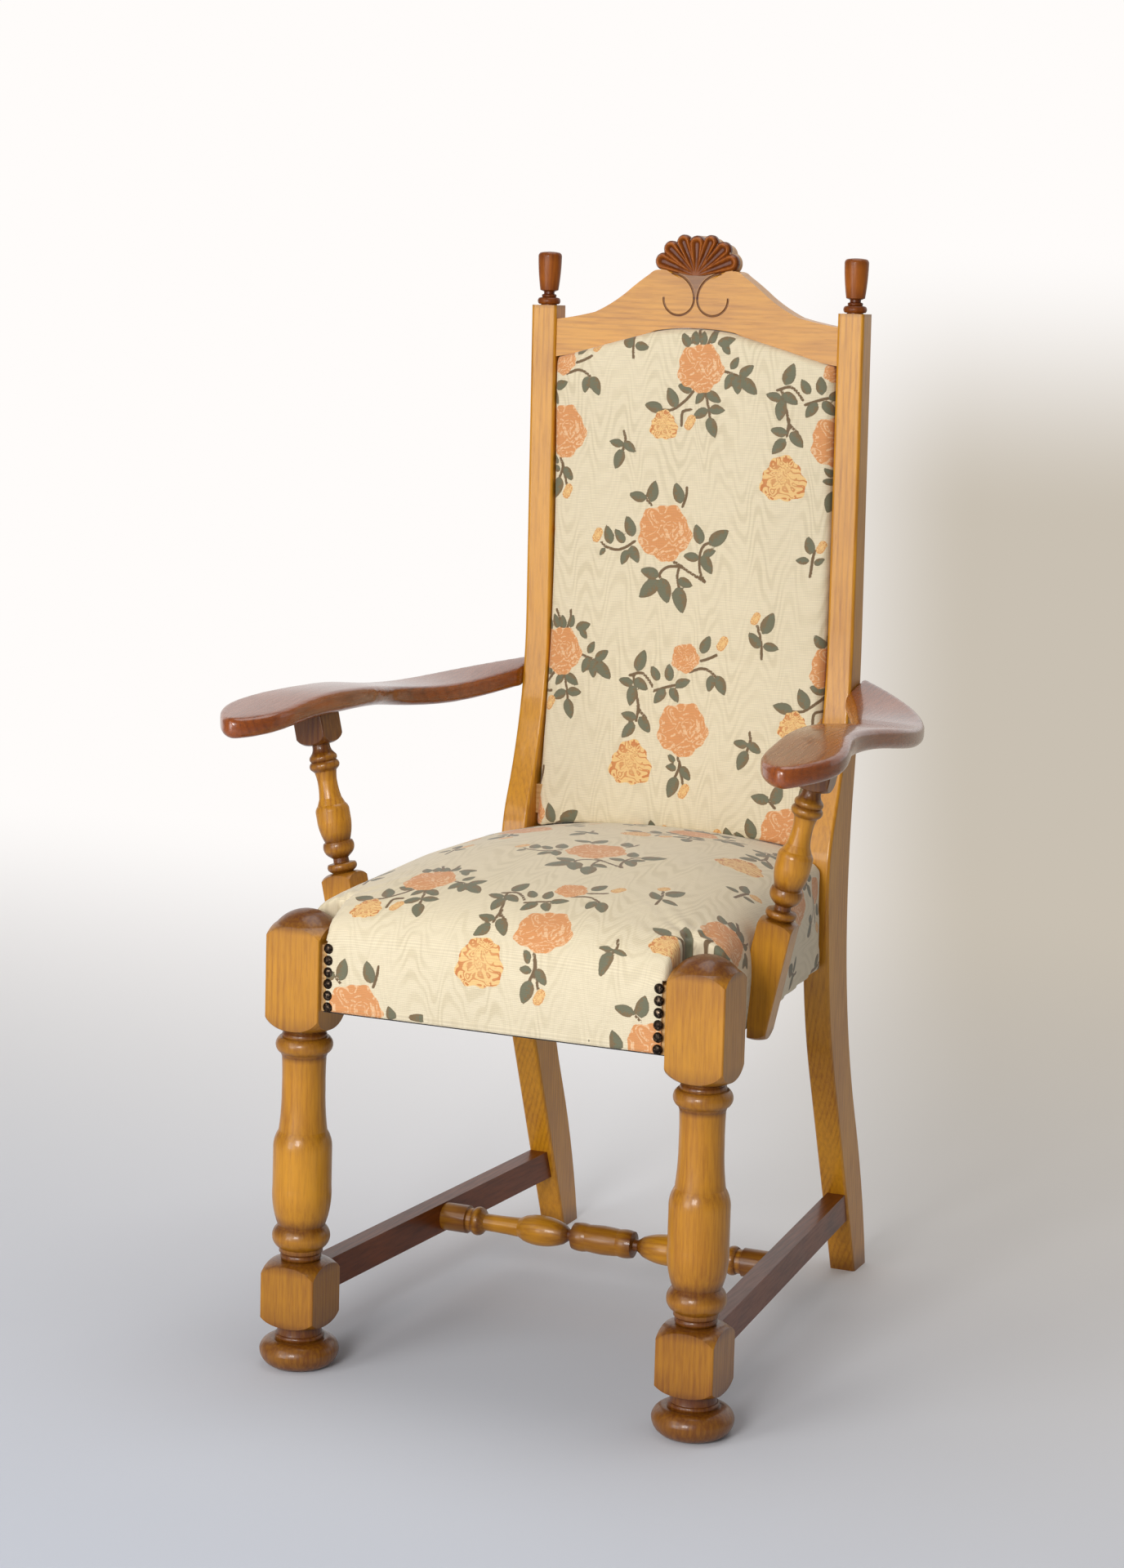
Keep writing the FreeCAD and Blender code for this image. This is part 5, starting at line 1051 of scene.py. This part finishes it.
def back_cover():
    """The stuffed inside back, from behind the seat up to the crest's arch."""
    size = bpy.context.scene.chair_upholstery
    arch = upper_edge("back_cover")
    face = profile("back_cover", 2, 1, np.min, 13)
    foot_place = float(face(BACK_LOW.z + 0.004))

    def foot(x):
        return seat_top(x, np.full_like(x, foot_place)) - size.tuck

    rear = profile("back_panel", 2, 1, np.min, 12)
    back = grid("back_upholstery", 64, 108)
    flat = coordinates(back)
    wide = BACK_HIGH.x
    x = flat[:, 0] * wide
    top, bottom = arch(x), foot(x)
    z = bottom + (top - bottom) * (flat[:, 1] + 1) / 2
    edge = np.minimum.reduce([wide - np.abs(x), z - bottom + 0.006, top - z])
    rolled = BACK_ROLL * (1 - np.clip(edge / BACK_ROLL_REACH, 0, 1)) ** 2
    y = face(z) + BACK_CROWN * np.abs(flat[:, 0]) ** 2.6 + rolled
    reshape(back, np.column_stack([x, y, z]))
    close_behind(back, lambda place: (place.x, float(rear(max(place.z, 0.5505))) - 0.0004, place.z))
    apply(back, "REMESH", mode="VOXEL", voxel_size=size.mesh_step * 0.9)
    places = coordinates(back)
    x, _, z = places.T
    rim = np.minimum.reduce([wide - np.abs(x), z - foot(x), arch(x) - z]) < 0.006
    behind = places[:, 1] > face(places[:, 2]) + 0.014
    blow_up(back, rim | behind, size.back_rise)
    apply(back, "SUBSURF", levels=1, render_levels=1)
    smooth(back)
    places = coordinates(back)
    woven(back, places[:, [0, 2]], (0, 0))
    complete(back, tapestry(), ["back_cover", "back_pad"])


def outside_back():
    """The cloth that is stretched over the back of the back."""
    arch = upper_edge("outside_back_cover")
    rear = profile("outside_back_cover", 2, 1, np.max, 24)
    low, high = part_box("outside_back_cover")
    panel = grid("outside_back", 60, 96)
    flat = coordinates(panel)
    x = flat[:, 0] * high.x
    z = low.z + (arch(x) - low.z) * (flat[:, 1] + 1) / 2
    bow = 0.0015 * (1 - flat[:, 0] ** 4) * (1 - flat[:, 1] ** 6)
    reshape(panel, np.column_stack([x, rear(z) - 0.0004 + bow, z]))
    close_behind(panel, lambda place: (place.x, place.y - CLOTH_THICKNESS, place.z))
    smooth(panel)
    woven(panel, coordinates(panel)[:, [0, 2]] * np.array([-1, 1]), (60, 150))
    complete(panel, tapestry(), ["outside_back_cover"])


# Distance between the straps' middles, the level that they weave about, and how far they rise and fall.
STRAP_PITCH, STRAP_LEVEL, STRAP_LIFT = 0.11, 0.4496, 0.00085


def underside():
    """The dust cover and the webbing, which is woven over and under."""
    linen = plain_cloth("hessian_webbing", linear("B79A6C"), 0.0016)
    for direction, axis in (("long", 0), ("cross", 1)):
        for number in (1, 2, 3):
            name = f"web_{direction}_{number}"
            low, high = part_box(name)
            strap = grid(f"strap_{direction}_{number}", 6, 90)
            flat = coordinates(strap)
            run, side = flat[:, 1], flat[:, 0]
            places = np.empty_like(flat)
            places[:, axis] = (low[axis] + high[axis]) / 2 + side * (high[axis] - low[axis]) / 2
            other = 1 - axis
            places[:, other] = (low[other] + high[other]) / 2 + run * (high[other] - low[other]) / 2
            turn = (-1) ** (number + axis)
            start = 0.025 if axis == 0 else 0.0
            weave = np.cos(np.pi * (places[:, other] / STRAP_PITCH + start / STRAP_PITCH))
            places[:, 2] = STRAP_LEVEL + turn * STRAP_LIFT * weave
            reshape(strap, places)
            close_behind(strap, lambda place: (place.x, place.y, place.z - CLOTH_THICKNESS))
            smooth(strap)
            complete(strap, linen, [name])
    node = NODES["dust_cover"]
    lining = node.copy()
    lining.data = node.data.copy()
    lining.name = lining.data.name = "dust_lining"
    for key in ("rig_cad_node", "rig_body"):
        if key in lining:
            del lining[key]
    bpy.context.scene.collection.objects.link(lining)
    area = weld(lining, 1e-5)
    low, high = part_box("dust_cover")
    complete(lining, plain_cloth("cotton_lining", linear("2C2A28"), 0.0012), ["dust_cover"])


# The shell's lobes on one side and its middle one: how far across, how high, and their round ends.
LOBES = [(0.0395, 1.1440, 0.0096), (0.0305, 1.1578, 0.0090), (0.0158, 1.1655, 0.0083), (0.0, 1.1635, 0.0092)]
HUB = np.array([0.0, 1.1290])
# The longest way from the hub to the rim, and the share of a lobe's depth over which its rim rises.
SHELL_REACH, RIM_SHARE = 0.056, 0.34


def eased(share):
    """A share from 0 to 1 that starts and ends gently."""
    share = np.clip(share, 0, 1)
    return share * share * (3 - 2 * share)


def lobe_depth(places):
    """How deep each place lies in its nearest lobe, from 0 at the edge to 1 on the rib's line, and how far out."""
    best, out = np.full(len(places), -9.0), np.zeros(len(places))
    for across, up, end in LOBES:
        for sign in (-1, 1):
            tip = np.array([sign * across, up]) - HUB
            off = places - HUB
            along = np.clip(off @ tip / (tip @ tip), 0, 1)
            width = 0.0018 + (end - 0.0018) * along
            depth = 1 - np.linalg.norm(off - along[:, None] * tip, axis=1) / width
            out = np.where(depth > best, along, out)
            best = np.maximum(best, depth)
    return best, out


def carved_shell():
    """The shell's fluted lobes, raised on the crest's face."""
    carving = bpy.context.scene.chair_carving
    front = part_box("crest_rail")[0].y
    shell = grid("crest_shell", 240, 54)
    flat = coordinates(shell)
    turn = flat[:, 0] * math.radians(89)
    share = (flat[:, 1] + 1) / 2
    heading = np.column_stack([np.sin(turn), np.cos(turn)])
    steps = np.linspace(0.0, SHELL_REACH, 260)
    reach = np.full(len(flat), 0.0005)
    for step in steps:
        inside = lobe_depth(HUB + heading * step)[0] > 0
        reach = np.where(inside, step, reach)
    spot = HUB + heading * (reach * share)[:, None]
    depth, out = lobe_depth(spot)
    depth = np.clip(depth, 0, 1)
    rise, scoop = (eased(part) for part in (depth / RIM_SHARE, (depth - RIM_SHARE) / 0.5))
    scoop = scoop * carving.hollow * np.clip(out * 1.8, 0, 1)
    height = carving.relief * rise * (1 - scoop) * (0.5 + 0.5 * out) - 0.0004
    reshape(shell, np.column_stack([spot[:, 0], front - height, spot[:, 1]]))
    close_behind(shell, lambda place: (place.x, front + 0.006, place.z))
    weld(shell, 2e-6)
    smooth(shell)
    complete(shell, stained("amber_shell"))


# Operators.


class CHAIR_OT_finish_timber(bpy.types.Operator):
    """Stain and lacquer the wooden pieces, and darken them with brown glazing and painted shade"""

    bl_idname = "chair.finish_timber"
    bl_label = "Finish the Timber"

    def execute(self, context):
        for name, (*_, nodes) in TIMBERS.items():
            for node in nodes:
                dress(node, stained(name))
        return {"FINISHED"}


class CHAIR_OT_shape_arms(bpy.types.Operator):
    """Shape the two waving arms"""

    bl_idname = "chair.shape_arms"
    bl_label = "Shape the Arms"

    def execute(self, context):
        for side in ("left", "right"):
            shaped_arm(side)
        return {"FINISHED"}


class CHAIR_OT_carve_shell(bpy.types.Operator):
    """Carve the fluted shell on the crest"""

    bl_idname = "chair.carve_shell"
    bl_label = "Carve the Shell"

    def execute(self, context):
        carved_shell()
        return {"FINISHED"}


class CHAIR_OT_upholster_seat(bpy.types.Operator):
    """Stuff the seat and cover it over its rails"""

    bl_idname = "chair.upholster_seat"
    bl_label = "Upholster the Seat"

    def execute(self, context):
        seat_cover()
        return {"FINISHED"}


class CHAIR_OT_upholster_back(bpy.types.Operator):
    """Stuff and cover the inside back, and cover the outside back"""

    bl_idname = "chair.upholster_back"
    bl_label = "Upholster the Back"

    def execute(self, context):
        back_cover()
        outside_back()
        return {"FINISHED"}


class CHAIR_OT_line_underside(bpy.types.Operator):
    """Stretch the webbing and the dust cover under the seat"""

    bl_idname = "chair.line_underside"
    bl_label = "Line the Underside"

    def execute(self, context):
        underside()
        return {"FINISHED"}


class CHAIR_OT_age_metal(bpy.types.Operator):
    """Darken the upholstery nails and the screws"""

    bl_idname = "chair.age_metal"
    bl_label = "Age the Nails and Screws"

    def execute(self, context):
        nails = aged_metal("darkened_brass", linear("2A221C"), linear("7C6A58"), 0.42)
        screws = aged_metal("dull_steel", linear("6E6A66"), linear("8E8A86"), 0.45)
        for node in NODES:
            if node.startswith("upholstery_nail"):
                dress(node, nails)
            if node.startswith("arm_post_screw"):
                dress(node, screws)
        return {"FINISHED"}


class CHAIR_OT_set_studio(bpy.types.Operator):
    """Set up the backdrop, the lamps and the camera"""

    bl_idname = "chair.set_studio"
    bl_label = "Set the Studio"

    def execute(self, context):
        set_studio(context.scene.chair_studio)
        return {"FINISHED"}


# The photograph's view of the chair, as it was solved from mirrored pairs of features.
CAMERA_PLACE = (1.26649, -3.07369, 1.1103)
CAMERA_TURN = [math.radians(angle) for angle in (83.4256, -1.5378, 23.5182)]
CAMERA_SHIFT = -0.08333
# Half the backdrop's width, how far its floor runs, where it starts, and the radius of the bend up to its wall.
BACKDROP_REACH, BACKDROP_RUN, BACKDROP_FLOOR, BACKDROP_START, BACKDROP_BEND = 9, 16, 8.6, -6.0, 2.0


def lamp(name, place, aim, power, size):
    light = bpy.data.lights.new(name, "AREA")
    light.energy, light.size = power, size
    made = bpy.data.objects.new(name, light)
    bpy.context.scene.collection.objects.link(made)
    made.location = place
    made.rotation_euler = (Vector(aim) - Vector(place)).to_track_quat("-Z", "Y").to_euler()


def set_studio(look):
    """The curved backdrop, the surrounding light, four lamps and the camera."""
    scene = bpy.context.scene
    scene.view_settings.view_transform = "Standard"
    sweep = grid("backdrop", 2, 80)
    flat = coordinates(sweep)
    # Floor up to a wide bend, then the wall.
    run, bend = (flat[:, 1] + 1) / 2 * BACKDROP_RUN, BACKDROP_BEND
    turn = np.clip((run - BACKDROP_FLOOR) / bend, 0, math.pi / 2)
    wall = np.maximum(run - BACKDROP_FLOOR - bend * math.pi / 2, 0)
    y = np.minimum(run, BACKDROP_FLOOR) + bend * np.sin(turn) + BACKDROP_START
    z = bend * (1 - np.cos(turn)) + wall
    reshape(sweep, np.column_stack([flat[:, 0] * BACKDROP_REACH, y, z]))
    smooth(sweep)
    finish = Finish("studio_backdrop")
    side, depth, height = finish.place().parts()
    dim = (side + depth * 0.31).between(-0.1, 0.5) * height.between(1.25, 0.6) * depth.between(-0.9, 0.5)
    # The floor darkens towards the camera: painted shade, the light falling off over an even floor.
    tone = finish.mix(depth.between(-1.8, 1.4), look.near_floor, look.far_floor)
    tone = finish.mix(dim * 0.35, tone, look.shadow)
    rough = finish.node("BsdfDiffuse", {}, {"Color": tone})
    glow = finish.node("Emission", {}, {"Color": finish.mix(dim, look.wall, look.shadow), "Strength": 1.0})
    path = finish.node("LightPath", {}, {}, "Is Camera Ray")
    shiny = finish.node("LightPath", {}, {}, "Is Glossy Ray")
    seen = (path + shiny).math("MINIMUM", 1.0) * depth.between(-0.2, 2.6)
    seen = seen.math("MAXIMUM", path * side.hypot(depth).between(2.3, 4.6))
    shader = finish.node("MixShader", {}, {0: seen, 1: rough, 2: glow})
    sweep.data.materials.append(finish.end(shader))
    world = bpy.data.worlds.new("studio_air")
    scene.world = world
    world.use_nodes = True
    air = world.node_tree
    air.nodes["Background"].inputs["Color"].default_value = (1, 0.985, 0.97, 1)
    rays = air.nodes.new("ShaderNodeLightPath").outputs["Is Camera Ray"]
    level = air.nodes.new("ShaderNodeMapRange")
    level.inputs["To Min"].default_value = look.ambient
    air.links.new(rays, level.inputs["Value"])
    air.links.new(level.outputs["Result"], air.nodes["Background"].inputs["Strength"])
    lamp("key", (0.15, -3.8, 1.6), (0, -0.05, 0.6), look.key, 1.1)
    lamp("window", (-1.9, -3.2, 2.7), (0, 0, 0.8), look.window, 1.8)
    lamp("board", (-1.4, -3.3, 0.78), (0, 0.2, 0.78), look.board, 1.25)
    lamp("top", (0.2, 0.4, 3.4), (0, 0, 0.5), look.top, 2.0)
    camera = bpy.data.cameras.new("photo_view")
    camera.lens, camera.sensor_width, camera.shift_y = look.lens, 36, CAMERA_SHIFT
    camera.clip_start, camera.clip_end = 0.1, 60
    viewer = bpy.data.objects.new("photo_view", camera)
    scene.collection.objects.link(viewer)
    viewer.location = CAMERA_PLACE
    viewer.rotation_euler = CAMERA_TURN
    scene.camera = viewer


class CHAIR_PT_sidebar(bpy.types.Panel):
    """The armchair's steps and sizes"""

    bl_label = "Armchair"
    bl_idname = "CHAIR_PT_sidebar"
    bl_space_type = "VIEW_3D"
    bl_region_type = "UI"
    bl_category = "Armchair"

    def draw(self, context):
        for step in STEPS:
            self.layout.operator(step.bl_idname)
        for name, group in LOOKS.items():
            box = self.layout.box()
            for key in group.__annotations__:
                box.prop(getattr(context.scene, name), key)


STEPS = [
    CHAIR_OT_finish_timber, CHAIR_OT_shape_arms, CHAIR_OT_carve_shell, CHAIR_OT_upholster_seat,
    CHAIR_OT_upholster_back, CHAIR_OT_line_underside, CHAIR_OT_age_metal, CHAIR_OT_set_studio,
]  # fmt: skip
LOOKS = {
    "chair_timber": TimberLook, "chair_tapestry": TapestryLook, "chair_upholstery": Upholstery,
    "chair_arms": ShapedArms, "chair_carving": CrestCarving, "chair_studio": StudioLook,
}  # fmt: skip


def register():
    for kind in (*LOOKS.values(), *STEPS, CHAIR_PT_sidebar):
        bpy.utils.register_class(kind)
    for name, group in LOOKS.items():
        setattr(bpy.types.Scene, name, PointerProperty(type=group))


def unregister():
    for name in LOOKS:
        delattr(bpy.types.Scene, name)
    for kind in (CHAIR_PT_sidebar, *reversed(STEPS), *reversed(LOOKS.values())):
        bpy.utils.unregister_class(kind)


def main():
    register()
    for step in STEPS:
        group, name = step.bl_idname.split(".")
        getattr(getattr(bpy.ops, group), name)()


if __name__ == "__main__":
    main()
